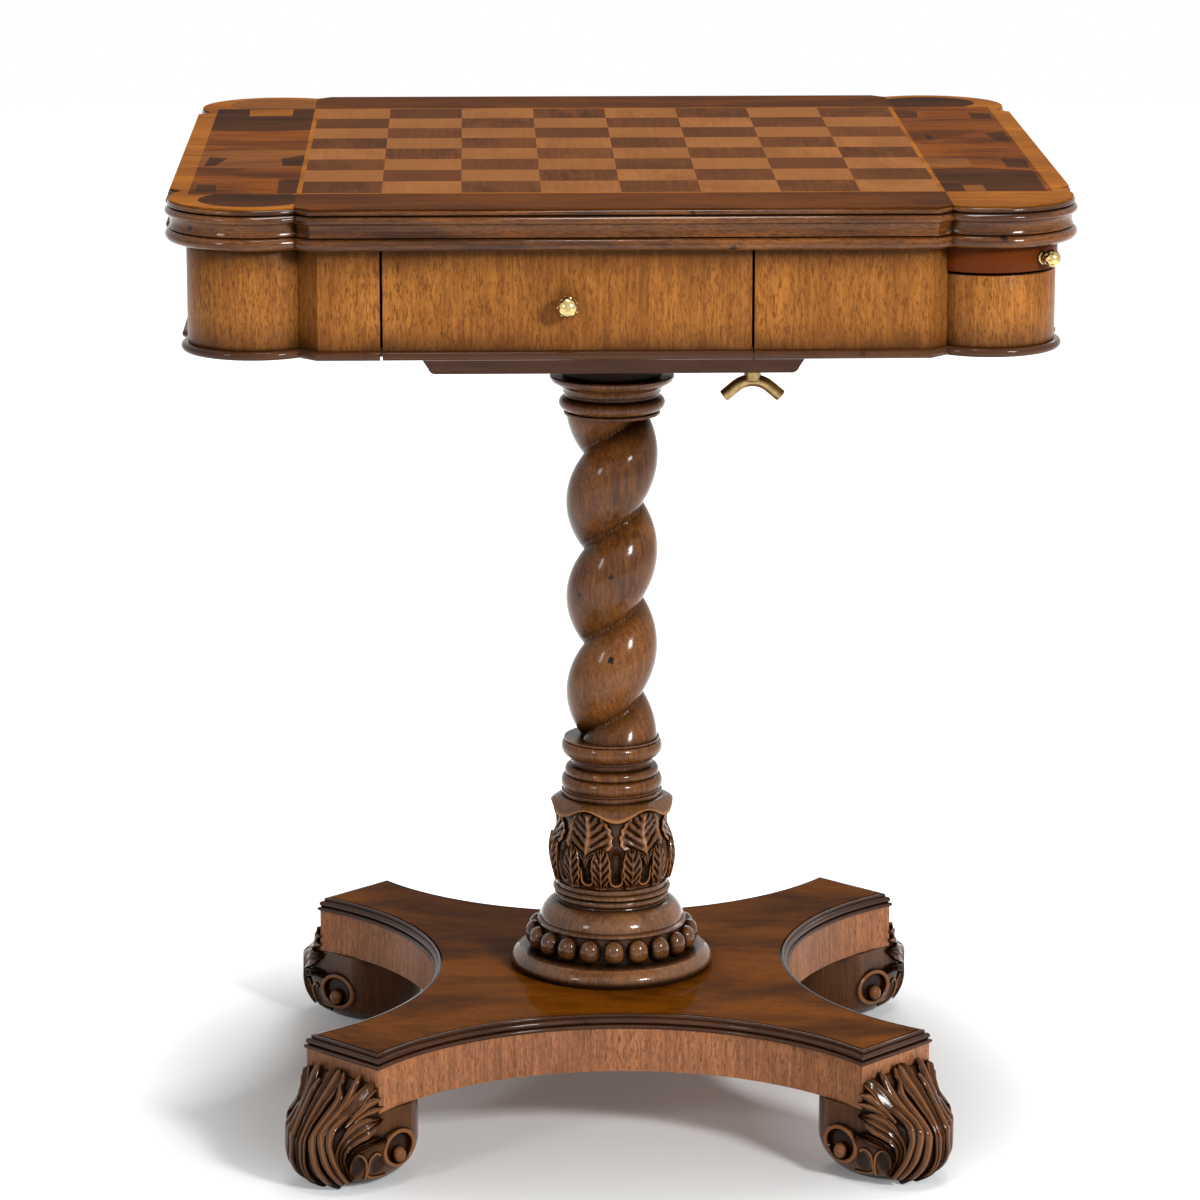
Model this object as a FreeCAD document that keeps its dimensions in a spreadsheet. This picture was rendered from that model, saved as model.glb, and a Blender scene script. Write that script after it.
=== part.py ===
import FreeCAD, Part
import os
import re
import Sketcher

# Pedestal games table with an inlaid chess board. Millimetres, +Z up, the origin on the floor under the
# middle of the top, the front towards -Y. The back of the table is its front turned half round.

doc = FreeCAD.newDocument("chess_table")
sheet = doc.addObject("Spreadsheet::Sheet", "Sizes")

SIZES = (
    # the top
    ("table_height", 750, "floor to playing surface"),
    ("top_thickness", 30, "playing surface to underside of the top"),
    ("veneer_thickness", 1.2, "board, borders and crossbanding"),
    ("square_size", 57.15, "one square of the board"),
    ("stringing_width", 3.5, "light line round the board"),
    ("corner_panel_depth", 61.4, "front of the case in to the seam behind a corner panel"),
    ("crossband_width", 14.5, "light band along the sides"),
    ("turret_band_width", 6, "light band round each turret panel"),
    ("veneer_inset", 3, "outermost moulding line back to the edge of the veneer"),
    ("moulding_reach", 15, "face of the case out to the outermost moulding line"),
    ("moulding_lap", 6.5, "face of the case in to the back of the moulding"),
    ("upper_reed", 4.2, "height of the reed under the veneer"),
    ("middle_reed", 6, "height of the second reed"),
    ("lower_reed", 9, "height of the reed at the foot of the moulding"),
    ("upper_setback", 1.2, "outermost moulding line back to the upper reed"),
    ("cove_setback", 2.5, "outermost moulding line back to the flat between the reeds"),
    # the case
    ("case_half_width", 312, "middle of the table to the side face"),
    ("case_half_depth", 293.5, "middle of the table to the front face"),
    ("turret_in_across", 50, "side face of the case in to a turret centre"),
    ("turret_in_along", 50.5, "front face of the case in to a turret centre"),
    ("turret_radius", 48.5, "round corner of the case"),
    ("corner_return", 46, "turret centre back to the start of the chamfer"),
    ("turret_back", 12.5, "turret centre in to the flat back of its block"),
    ("frieze_height", 73, "underside of the top to the bead"),
    ("apron_thickness", 14, "panels of the frieze"),
    ("bead_height", 6.5, "half-round bead at the foot of the case"),
    ("bead_reach", 5, "bead beyond the face of the case"),
    ("rail_thickness", 20, "centre rail between the two drawers"),
    ("panel_gap", 0.15, "centre rail to the side panels"),
    # the drawers
    ("drawer_left_in", 141.5, "left side of the case in to the drawer face"),
    ("drawer_right_in", 221.4, "right side of the case in to the drawer face"),
    ("drawer_gap", 1.8, "drawer face to the panel beside it"),
    ("drawer_top_gap", 1.2, "drawer face to the underside of the top"),
    ("drawer_face_thickness", 13.5, "drawer face"),
    ("drawer_inset", 10, "end of the drawer face in to the drawer side"),
    ("drawer_end_gap", 30, "end of the drawer box to the centre rail"),
    ("drawer_board", 10, "drawer sides and rear"),
    ("drawer_side_height", 55, "drawer sides"),
    ("drawer_floor", 4, "drawer bottom board"),
    ("drawer_floor_lift", 4, "foot of the sides up to the drawer bottom"),
    ("runner_height", 5, "ledge that a drawer side slides on"),
    ("runner_width", 22, "ledge and guide together"),
    ("guide_width", 8, "guide beside a drawer side"),
    ("guide_height", 15, "guide above the ledge"),
    ("kicker_gap", 1.5, "drawer side up to the kicker"),
    ("glide_gap", 0.3, "sliding faces"),
    ("side_gap", 0.5, "sliding faces at the sides"),
    ("runner_gap", 1.5, "back of a closed drawer face to the runners"),
    # the trays
    ("tray_thickness", 18.7, "pull-out tray"),
    ("tray_gap", 2, "shadow gap under the tray"),
    ("tray_top_gap", 0.8, "tray to the underside of the top"),
    ("tray_proud", 1.2, "tray nose beyond the turret under it"),
    ("tray_side_gap", 0.8, "tray to the ends of the frieze panels"),
    ("tray_lip_gap", 0.35, "nose lip to the chamfered faces"),
    ("tray_tail", 150, "turret centre in to the end of the tray"),
    ("tray_travel", 90, "how far a tray pulls out"),
    ("tray_well_radius", 36, "round well for a glass"),
    ("tray_well_depth", 11, "round well for a glass"),
    ("stop_back", 140, "turret centre in to the stop pin"),
    ("stop_radius", 3, "stop pin under the tray"),
    ("stop_drop", 6.5, "stop pin below the tray"),
    ("cradle_board", 8, "board under the tray"),
    ("cradle_guide", 12, "guides beside the tray"),
    ("cradle_side_gap", 0.4, "tray to a guide"),
    ("cradle_end", 15, "cradle beyond the end of the tray"),
    ("cradle_gap", 0.3, "turret block to the cradle"),
    # the knobs
    ("drawer_knob_radius", 8.5, "ball of a drawer knob"),
    ("drawer_knob_reach", 20, "drawer face to the tip of the knob"),
    ("drawer_knob_drop", 40, "underside of the top down to the middle of the knob"),
    ("tray_knob_radius", 6.75, "ball of a tray knob"),
    ("tray_knob_reach", 15, "tray nose to the tip of the knob"),
    ("rosette_radius", 5.5, "base of a knob"),
    ("rosette_height", 2, "base of a knob"),
    ("knob_neck_radius", 3, "stem of a knob"),
    ("knob_spigot_radius", 2, "spigot in the wood"),
    ("knob_spigot_length", 12, "spigot in the wood"),
    # the bearer and the wing bolt
    ("bearer_length", 308, "along the top"),
    ("bearer_slope", 16, "how far each end slopes in"),
    ("bearer_chamfer", 25, "height of the sloping part of an end"),
    ("bearer_round", 4, "rounding of the lower corners"),
    ("bearer_height", 55.5, "foot of the bead down to the top of the column"),
    ("bearer_depth", 100, "front to back"),
    ("bearer_screw_in", 42, "end of the bearer in to a screw"),
    ("bearer_screw_edge", 14, "side of the bearer in to a screw"),
    ("screw_radius", 2.5, "wood screw"),
    ("screw_head_radius", 5, "wood screw"),
    ("screw_length", 59, "wood screw"),
    ("wing_in", 46, "end of the bearer in to the wing bolt"),
    ("wing_drop", 15, "underside of the bearer down to the middle of the bent rod"),
    ("wing_rod_radius", 4.9, "bent rod of the wings"),
    ("wing_bend", 20, "middle of the bent rod round its bend"),
    ("wing_arm", 12, "straight end of a wing"),
    ("wing_fall", 40, "slope of a wing in degrees"),
    ("wing_boss_radius", 6.5, "collar of the wing bolt"),
    ("wing_boss_gap", 1.5, "collar to the underside of the bearer"),
    ("bolt_radius", 4, "shank of the wing bolt"),
    ("bolt_running_gap", 0.05, "shank in its threaded insert"),
    ("bolt_hole_gap", 0.4, "shank in the wood"),
    ("insert_radius", 7, "threaded insert"),
    ("insert_length", 18, "threaded insert"),
    # the column
    ("rod_radius", 5, "tie rod"),
    ("rod_gap", 0.25, "tie rod in its bore"),
    ("nut_radius", 9.8, "nut across its corners"),
    ("nut_height", 8, "nut"),
    ("washer_radius", 12, "washer"),
    ("washer_height", 2, "washer"),
    ("counterbore_radius", 15, "recess for nut and washer"),
    ("counterbore_depth", 16, "recess for nut and washer"),
    ("rod_recess", 2, "end of the rod inside the recess"),
    ("twist_crest", 35.5, "radius over the crest"),
    ("twist_groove", 21, "radius in the groove"),
    ("twist_pitch", 75.3, "one turn of the twist"),
    ("twist_phase", -38.75, "groove above the foot of the shaft, on the +X side"),
    ("twist_land", 2, "flat on the crest"),
    ("bead_count", 20, "beads round the foot of the column"),
    ("bead_half_width", 8.5, "one oval bead, side to side"),
    ("bead_half_height", 10, "one oval bead, up and down"),
    ("bead_half_depth", 7.5, "one oval bead, in and out"),
    ("bead_circle", 60.5, "column axis to the middle of a bead"),
    ("bead_level", 24, "platform up to the middle of a bead"),
    # the base
    ("platform_foot", 60, "floor to the underside of the platform"),
    ("platform_thickness", 34, "veneered body of the platform"),
    ("platform_edge", 8.5, "rounded part of the platform top"),
    ("platform_quirk", 2.5, "raised part of the platform top"),
    ("platform_overhang", 2, "platform top beyond its body"),
    ("quirk_inset", 4, "raised part in from the body face"),
    ("platform_round", 5, "rounding of the platform top"),
    ("arm_reach", 293.45, "column axis to the end of an arm"),
    ("scoop_distance", 356, "column axis to the centre of a concave side"),
    ("scoop_radius", 217, "concave side"),
    ("foot_middle", 11.5, "end of the arm in to the middle of the foot"),
    ("foot_half_length", 53.5, "scroll foot, along the arm"),
    ("foot_half_width", 41.5, "scroll foot, across the arm"),
    ("foot_rounding", 30, "rounding of the foot down to its sole"),
    ("leaf_top", 84, "floor to the tip of the leaves"),
    ("leaf_shoulder", 68, "floor to the hollow behind the nose"),
    ("nose_top", 40, "floor to the nose of the foot"),
    ("leaf_thickness", 3, "leaves on the end of the arm"),
    ("leaf_hollow", 11, "end of the arm out to the hollow behind the nose"),
    ("leaf_hollow_radius", 45, "hollow behind the nose"),
    ("nose_radius", 36, "swell of the nose"),
    ("leaf_half_foot", 36, "half the leaves across the end of the arm"),
    ("leaf_half_middle", 31, "half the leaves at their side tips"),
    ("leaf_side_top", 77, "floor to the side tips of the leaves"),
    ("leaf_half_top", 12, "half the middle leaf"),
    ("volute_radius", 17, "spiral on the side of a foot"),
    ("volute_level", 31, "floor to the middle of the spiral"),
    ("volute_swell", 1, "spiral beyond the side"),
    ("boss_radius", 5, "button in the spiral"),
    ("boss_swell", 2.5, "button beyond the side"),
    ("dowel_radius", 6, "dowel between foot and platform"),
    ("dowel_back", 28, "end of the arm in to the dowel"),
    ("dowel_half_length", 25, "dowel"),
)

PROFILES = (
    # piece, part of the profile, radius, level above the foot of the piece, radius of the arc that follows
    # (hollow where it is negative)
    ("capital", "foot", 36.6, 0),
    ("capital", "fillet", 37.4, 0.8),
    ("capital", "fillet_top", 37.4, 2.6),
    ("capital", "quirk", 36.4, 3.2),
    ("capital", "torus", 37.2, 4.2, 5.42),
    ("capital", "torus_top", 37.2, 14.6),
    ("capital", "neck", 36.6, 15.2),
    ("capital", "neck_top", 36.6, 17.6),
    ("capital", "cove", 38.2, 18.6, -7),
    ("capital", "cove_top", 42.8, 24.2),
    ("capital", "step", 44.8, 25.2, 6),
    ("capital", "rim", 48.1, 30.2),
    ("capital", "rim_top", 47.3, 31.2),
    ("capital", "seat", 38.5, 32),
    ("capital", "top", 38.5, 40.5),
    ("collar", "foot", 38.9, 0),
    ("collar", "fillet", 39.4, 0.8),
    ("collar", "fillet_top", 39.4, 3.6),
    ("collar", "lower_quirk", 38, 4.3),
    ("collar", "torus", 37.9, 5.3, 8.1),
    ("collar", "torus_top", 37.6, 15.6),
    ("collar", "middle_quirk", 35.8, 16.3),
    ("collar", "ovolo", 36.3, 17, 5),
    ("collar", "ovolo_top", 32.5, 24),
    ("collar", "neck", 31.2, 25.2, -4),
    ("collar", "neck_top", 31.4, 28.3),
    ("collar", "step", 32.8, 28.8),
    ("collar", "ring", 33.6, 30.3, 8.5),
    ("collar", "ring_top", 37.8, 43.3),
    ("collar", "upper_quirk", 36.6, 43.7),
    ("collar", "lip", 37.2, 44.2),
    ("collar", "top", 37.2, 45.5),
    ("vase", "foot", 44.2, 0),
    ("vase", "stem", 44.4, 4, 80),
    ("vase", "belly", 49.8, 25, 40),
    ("vase", "throat", 42.8, 46, -26),
    ("vase", "lip", 47.6, 64.5),
    ("vase", "lip_top", 47, 66.5),
    ("vase", "crown", 39.6, 72.2),
    ("vase", "top", 39.6, 73),
    ("column_foot", "foot", 78, 0, 8),
    ("column_foot", "torus_top", 75, 11.5),
    ("column_foot", "lip", 73.6, 12.4),
    ("column_foot", "lip_top", 72.6, 13.5),
    ("column_foot", "channel", 58.5, 14.2),
    ("column_foot", "channel_top", 57, 34),
    ("column_foot", "upper_fillet", 58.7, 35.2),
    ("column_foot", "upper_fillet_top", 58.4, 36.8),
    ("column_foot", "bell_foot", 56.2, 37.8),
    ("column_foot", "bell", 56.4, 39.3, 18),
    ("column_foot", "bell_top", 43.6, 53.5),
    ("column_foot", "ring", 43.8, 55, 3.6),
    ("column_foot", "ring_top", 43.8, 60.3),
    ("column_foot", "quirk", 43, 60.8),
    ("column_foot", "upper_ring", 45.4, 61.4),
    ("column_foot", "upper_ring_middle", 46.2, 62.7),
    ("column_foot", "upper_ring_top", 45.4, 64.2),
    ("column_foot", "top", 44.4, 65),
)

DERIVED = (
    ("turret_across", "case_half_width - turret_in_across", "middle of the table to a turret centre in X"),
    ("turret_along", "case_half_depth - turret_in_along", "middle of the table to a turret centre, along Y"),
    ("bearer_screw_across", "bearer_length / 2 - bearer_screw_in", "middle of the bearer to a screw in X"),
    ("bearer_screw_along", "bearer_depth / 2 - bearer_screw_edge", "middle of the bearer to a screw in Y"),
    ("wing_offset", "bearer_length / 2 - wing_in", "middle of the table to the wing bolt"),
    ("drawer_width", "2 * case_half_width - drawer_left_in - drawer_right_in", "drawer face, side to side"),
    ("drawer_shift", "(drawer_right_in - drawer_left_in) / 2", "middle of the table to that of the drawer"),
    ("drawer_length",
     "case_half_depth - drawer_face_thickness - rail_thickness / 2 - drawer_end_gap",
     "back of the drawer face to the end of the box"),
)

rows = [(alias, str(value), meaning) for alias, value, meaning in SIZES]
for piece, part, radius, level, *arc in PROFILES:
    rows.append(("%s_%s_radius" % (piece, part), str(radius), "turned profile"))
    rows.append(("%s_%s_level" % (piece, part), str(level), "turned profile"))
    if arc:
        rows.append(("%s_%s_arc" % (piece, part), str(arc[0]), "turned profile"))
rows.extend((alias, "=" + formula, meaning) for alias, formula, meaning in DERIVED)
for row, (alias, content, meaning) in enumerate(rows, start=1):
    sheet.set("A%d" % row, meaning)
    sheet.setAlias("B%d" % row, alias)
    sheet.set("B%d" % row, content)
doc.recompute()

ALIASES = {alias for alias, content, meaning in rows}
Z_AXIS = FreeCAD.Vector(0, 0, 1)
HALF_TURN = 180

# levels and places, as formulas in the names of the sheet
VENEER_FOOT = "(table_height - veneer_thickness)"
CASE_TOP = "(table_height - top_thickness)"
CASE_FOOT = "(%s - frieze_height)" % CASE_TOP
BEAD_FOOT = "(%s - bead_height)" % CASE_FOOT
COLUMN_TOP = "(%s - bearer_height)" % BEAD_FOOT
PLATFORM_TOP = "(platform_foot + platform_thickness + platform_edge + platform_quirk)"
VASE_FOOT = "(%s + column_foot_top_level)" % PLATFORM_TOP
COLLAR_FOOT = "(%s + vase_top_level)" % VASE_FOOT
TWIST_FOOT = "(%s + collar_top_level)" % COLLAR_FOOT
TWIST_TOP = "(%s - capital_top_level)" % COLUMN_TOP
TWIST_LENGTH = "(%s - %s)" % (TWIST_TOP, TWIST_FOOT)
TRAY_FOOT = "(%s - tray_top_gap - tray_thickness)" % CASE_TOP
BOARD_REACH = "(4 * square_size + stringing_width)"
ROD_BORE = "(rod_radius + rod_gap)"

nodes = {}


def linked(formula):
    """The formula with each sheet name addressed so that another object can use it."""
    return re.sub(r"[a-z_]+", lambda word: ("Sizes." if word.group() in ALIASES else "") + word.group(), formula)


def number(formula):
    return float(sheet.evalExpression(linked(formula)))


def bind(thing, name, formula):
    thing.setExpression(name, linked(formula))


def negative(formula):
    return "(-(%s))" % formula


def place(thing, x="0", y="0", z="0", spin=0, turned=False, axis=None):
    """Put a thing at x, y, z, spun about Z or with its Z axis laid along axis; turned is its copy at the back."""
    rotation = FreeCAD.Rotation(Z_AXIS, axis) if axis else FreeCAD.Rotation(Z_AXIS, spin)
    if turned:
        rotation = FreeCAD.Rotation(Z_AXIS, HALF_TURN).multiply(rotation)
        x, y = negative(x), negative(y)
    thing.Placement = FreeCAD.Placement(FreeCAD.Vector(number(x), number(y), number(z)), rotation)
    bind(thing, "Placement.Base.x", x)
    bind(thing, "Placement.Base.y", y)
    bind(thing, "Placement.Base.z", z)
    return thing


def keep(name, thing):
    """Give a finished sub-part its name."""
    thing.Label = name
    nodes[name] = thing
    return thing


def block(x, y, z, turned=False):
    """A box between two formulas on each axis."""
    box = doc.addObject("Part::Box", "block")
    bind(box, "Length", "(%s) - (%s)" % (x[1], x[0]))
    bind(box, "Width", "(%s) - (%s)" % (y[1], y[0]))
    bind(box, "Height", "(%s) - (%s)" % (z[1], z[0]))
    return place(box, x[0], y[0], z[0], turned=turned)


def rod(radius, z, x="0", y="0", turned=False):
    """An upright cylinder."""
    cylinder = doc.addObject("Part::Cylinder", "rod")
    bind(cylinder, "Radius", radius)
    bind(cylinder, "Height", "(%s) - (%s)" % (z[1], z[0]))
    return place(cylinder, x, y, z[0], turned=turned)


def group(members):
    compound = doc.addObject("Part::Compound", "group")
    compound.Links = members
    return compound


def cut(base, *tools):
    result = doc.addObject("Part::Cut", "cut")
    result.Base = base
    result.Tool = tools[0] if len(tools) == 1 else group(list(tools))
    return result


def common(base, tool):
    result = doc.addObject("Part::Common", "common")
    result.Base = base
    result.Tool = tool
    return result


def fuse(members):
    result = doc.addObject("Part::MultiFuse", "fuse")
    result.Shapes = members
    return result


def new_body(x="0", y="0", z="0", spin=0, turned=False, axis=None):
    return place(doc.addObject("PartDesign::Body", "body"), x, y, z, spin, turned, axis)


def arc_between(start, end, radius):
    """An arc to the right of the way from start to end, or to the left if the radius is negative."""
    way = end - start
    sagitta = abs(radius) - max(radius * radius - (way.Length / 2) ** 2, 0) ** 0.5
    right = FreeCAD.Vector(way.y, -way.x, 0).normalize()
    middle = (start + end) * 0.5 + right * (sagitta if radius > 0 else -sagitta)
    return Part.Arc(start, middle, end)


def outline(body, plane, points, lift="0", closed=True):
    """A sketch of a closed or open line; a point is (u, v), or (u, v, radius) where an arc leads to the next point."""
    sketch = body.newObject("Sketcher::SketchObject", "outline")
    support = [feature for feature in body.Origin.OriginFeatures if feature.Role == plane]
    sketch.AttachmentSupport = [(support[0], "")]
    sketch.MapMode = "FlatFace"
    bind(sketch, "AttachmentOffset.Base.z", lift)
    corners = [FreeCAD.Vector(number(point[0]), number(point[1]), 0) for point in points]
    edges = len(points) if closed else len(points) - 1
    heads = []
    for index in range(edges):
        start, end = corners[index], corners[(index + 1) % len(corners)]
        if len(points[index]) == 3:
            edge = arc_between(start, end, number(points[index][2]))
        else:
            edge = Part.LineSegment(start, end)
        sketch.addGeometry(edge, False)
        forward = (sketch.getPoint(index, 1).distanceToPoint(start)
                   < sketch.getPoint(index, 2).distanceToPoint(start))
        heads.append((1, 2) if forward else (2, 1))
    ends = [(index, heads[index][0]) for index in range(edges)]
    if not closed:
        ends.append((edges - 1, heads[-1][1]))
    for corner, point, (edge, end) in zip(corners, points, ends):
        for kind, formula, value in (("DistanceX", point[0], corner.x), ("DistanceY", point[1], corner.y)):
            constraint = sketch.addConstraint(Sketcher.Constraint(kind, edge, end, value))
            bind(sketch, "Constraints[%d]" % constraint, formula)
    for index in range(edges):
        if closed or index + 1 < edges:
            after = (index + 1) % edges
            sketch.addConstraint(Sketcher.Constraint("Coincident", index, heads[index][1], after, heads[after][0]))
        if len(points[index]) == 3:
            radius = points[index][2]
            constraint = sketch.addConstraint(Sketcher.Constraint("Radius", index, abs(number(radius))))
            bind(sketch, "Constraints[%d]" % constraint, "abs(%s)" % radius)
    return sketch


def pad(body, sketch, length, symmetric=False):
    feature = body.newObject("PartDesign::Pad", "pad")
    feature.Profile = sketch
    bind(feature, "Length", length)
    feature.SideType = "Symmetric" if symmetric else "One side"
    return feature


def round_edges(body, feature, radius, wanted):
    """Fillet the edges of a feature that wanted picks."""
    doc.recompute()
    names = ["Edge%d" % (index + 1) for index, edge in enumerate(feature.Shape.Edges) if wanted(edge)]
    fillet = body.newObject("PartDesign::Fillet", "fillet")
    fillet.Base = (feature, names)
    bind(fillet, "Radius", radius)
    return fillet


def is_level(edge):
    return edge.BoundBox.ZLength < 1e-6


def turned_piece(z, points, x="0", y="0", axis=None, turned=False):
    """A body turned from (radius, height) points."""
    body = new_body(x, y, z, axis=axis, turned=turned)
    sketch = outline(body, "XZ_Plane", points)
    feature = body.newObject("PartDesign::Revolution", "turning")
    feature.Profile = sketch
    feature.ReferenceAxis = (sketch, ["V_Axis"])
    feature.Angle = 360
    return body


def drill(body, radius, z, x="0", y="0"):
    hole = body.newObject("PartDesign::SubtractiveCylinder", "hole")
    bind(hole, "Radius", radius)
    bind(hole, "Height", "(%s) - (%s)" % (z[1], z[0]))
    return place(hole, x, y, z[0])


# ---------------------------------------------------------------- the outline of the case, turrets included

CORNER_STEP = "((case_half_depth - turret_along - corner_return) * sqrt(0.5))"
SIDE_RETURN = "(corner_return + case_half_width - turret_across - case_half_depth + turret_along)"


def chamfer_ends(offset):
    """The ends of a chamfer in the +X +Y quarter, for an outline moved out by an offset."""
    return (
        ("turret_across - corner_return + %s * (sqrt(2) - 1)" % offset, "case_half_depth + %s" % offset),
        ("case_half_width + %s" % offset, "turret_along - %s + %s * (sqrt(2) - 1)" % (SIDE_RETURN, offset)),
    )


def on_chamfer(along, depth="0"):
    """A point at a depth behind the chamfered face, along it from the turret centre towards the side."""
    return (
        "turret_across + (%s - %s + %s) * sqrt(0.5)" % (CORNER_STEP, depth, along),
        "turret_along + (%s - %s - %s) * sqrt(0.5)" % (CORNER_STEP, depth, along),
    )


def corner_points(offset):
    """Front chamfer start, front junction, side junction and side chamfer end, in the +X +Y quarter."""
    half_chord = "sqrt((turret_radius + %s)^2 - (%s + %s)^2)" % (offset, CORNER_STEP, offset)
    start, end = chamfer_ends(offset)
    lift = negative(offset)
    return start, on_chamfer(negative(half_chord), lift), on_chamfer(half_chord, lift), end


def case_outline(offset):
    points = []
    for across, along in ((1, -1), (1, 1), (-1, 1), (-1, -1)):
        quarter = list(corner_points(offset))
        if across * along > 0:
            quarter.reverse()
        signed = [(x if across > 0 else negative(x), y if along > 0 else negative(y)) for x, y in quarter]
        signed[1] = signed[1] + ("turret_radius + %s" % offset,)
        points.extend(signed)
    return points


def slab(offset, z, height):
    """The case outline, moved out by an offset, as a slab."""
    body = new_body(z=z)
    pad(body, outline(body, "XY_Plane", case_outline(offset)), height)
    return body


# ---------------------------------------------------------------- the top

def rounded_slab(offset, z, height):
    """The case outline as a slab with a rounded edge, made of an eight-sided plate and four round ones."""
    rounding = "(0.44 * %s)" % height
    plate = new_body(z=z)
    corners = []
    for across, along in ((1, -1), (1, 1), (-1, 1), (-1, -1)):
        ends = chamfer_ends(offset)
        for x, y in ends if across * along < 0 else ends[::-1]:
            corners.append((x if across > 0 else negative(x), y if along > 0 else negative(y)))
    prism = pad(plate, outline(plate, "XY_Plane", corners), height)
    round_edges(plate, prism, rounding, is_level)
    radius = "(turret_radius + %s)" % offset
    profile = (
        ("0", "0"),
        ("%s - %s" % (radius, rounding), "0", rounding),
        (radius, rounding),
        (radius, "%s - %s" % (height, rounding), rounding),
        ("%s - %s" % (radius, rounding), height),
        ("0", height),
    )
    discs = []
    for x in ("turret_across", "(-turret_across)"):
        for y in ("turret_along", "(-turret_along)"):
            discs.append(turned_piece(z, profile, x, y))
    return fuse([plate] + discs)


def build_top():
    board = keep("top_board", slab("(-moulding_lap)", CASE_TOP, "top_thickness - veneer_thickness"))
    reach, middle_foot, upper_foot = "moulding_reach", "(%s - middle_reed)", "(%s - upper_reed)" % VENEER_FOOT
    members = [
        rounded_slab(reach, CASE_TOP, "lower_reed"),
        rounded_slab(reach, middle_foot % upper_foot, "middle_reed"),
        rounded_slab("(moulding_reach - upper_setback)", upper_foot, "upper_reed"),
        slab("(moulding_reach - cove_setback)", CASE_TOP, "top_thickness - veneer_thickness"),
    ]
    keep("edge_moulding", cut(fuse(members), board))

    veneer = slab("(moulding_reach - veneer_inset)", VENEER_FOOT, "veneer_thickness")
    layer = (VENEER_FOOT, "table_height")
    tiles = {"dark_squares": [], "light_squares": []}
    for file in range(-4, 4):
        for rank in range(-4, 4):
            x = ("(%d * square_size)" % file, "(%d * square_size)" % (file + 1))
            y = ("(%d * square_size)" % rank, "(%d * square_size)" % (rank + 1))
            tiles["light_squares" if (file + rank) % 2 else "dark_squares"].append(block(x, y, layer))
    for name, squares in tiles.items():
        keep(name, group(squares))

    field = ("(-4 * square_size)", "(4 * square_size)")
    framed = (negative(BOARD_REACH), BOARD_REACH)
    keep("board_stringing", cut(block(framed, framed, layer), block(field, field, layer)))

    far_side, far_end = "(case_half_width + moulding_reach)", "(case_half_depth + moulding_reach)"
    strips = group([block(framed, (negative(far_end), framed[0]), layer), block(framed, (framed[1], far_end), layer)])
    keep("border_strips", common(veneer, strips))

    band = "(case_half_width + moulding_reach - veneer_inset - crossband_width)"
    seam = "(case_half_depth - corner_panel_depth)"
    run = (negative(seam), seam)
    panels = group([block((negative(band), framed[0]), run, layer), block((framed[1], band), run, layer)])
    keep("side_panels", panels)

    corners = []
    for x in ((negative(far_side), framed[0]), (framed[1], far_side)):
        for y in ((negative(far_end), run[0]), (run[1], far_end)):
            corners.append(block(x, y, layer))
    inner = slab("(moulding_reach - veneer_inset - turret_band_width)", VENEER_FOOT, "veneer_thickness")
    fans = keep("corner_panels", common(inner, group(corners)))
    middle = block(framed, (negative(far_end), far_end), layer)
    keep("crossbanding", cut(veneer, middle, panels, fans))


# ---------------------------------------------------------------- the case

def front_panel(name, edge, side, turned):
    """A panel of the frieze from a drawer to a turret, with the chamfer at its end."""
    points = (
        (edge, "case_half_depth"),
        ("turret_across - corner_return", "case_half_depth"),
        on_chamfer("-turret_radius"),
        on_chamfer("-turret_radius", "apron_thickness"),
        ("turret_across - corner_return - apron_thickness * (sqrt(2) - 1)", "case_half_depth - apron_thickness"),
        (edge, "case_half_depth - apron_thickness"),
    )
    body = new_body(z=CASE_FOOT, turned=turned)
    signed = [(x if side > 0 else negative(x), negative(y)) for x, y in points]
    pad(body, outline(body, "XY_Plane", signed), "frieze_height")
    return keep(name, body)


def side_panel(name, side):
    """A side of the frieze, with a chamfer at each end."""
    half = (
        ("case_half_width", "turret_along - %s" % SIDE_RETURN),
        on_chamfer("turret_radius"),
        on_chamfer("turret_radius", "apron_thickness"),
        ("case_half_width - apron_thickness", "turret_along - %s - apron_thickness * (sqrt(2) - 1)" % SIDE_RETURN),
    )
    points = list(half) + [(x, negative(y)) for x, y in reversed(half)]
    body = new_body(z=CASE_FOOT)
    pad(body, outline(body, "XY_Plane", [(x if side > 0 else negative(x), y) for x, y in points]), "frieze_height")
    return keep(name, body)


def turret(name, across, along, spin, height):
    """A round corner block with a flat back inside the case."""
    body = new_body(across, along, CASE_FOOT, spin)
    half_chord = "sqrt(turret_radius^2 - turret_back^2)"
    points = (
        ("-turret_back", negative(half_chord), "turret_radius"),
        ("turret_radius", "0", "turret_radius"),
        ("-turret_back", half_chord),
    )
    pad(body, outline(body, "XY_Plane", points), height)
    return keep(name, body)


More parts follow.
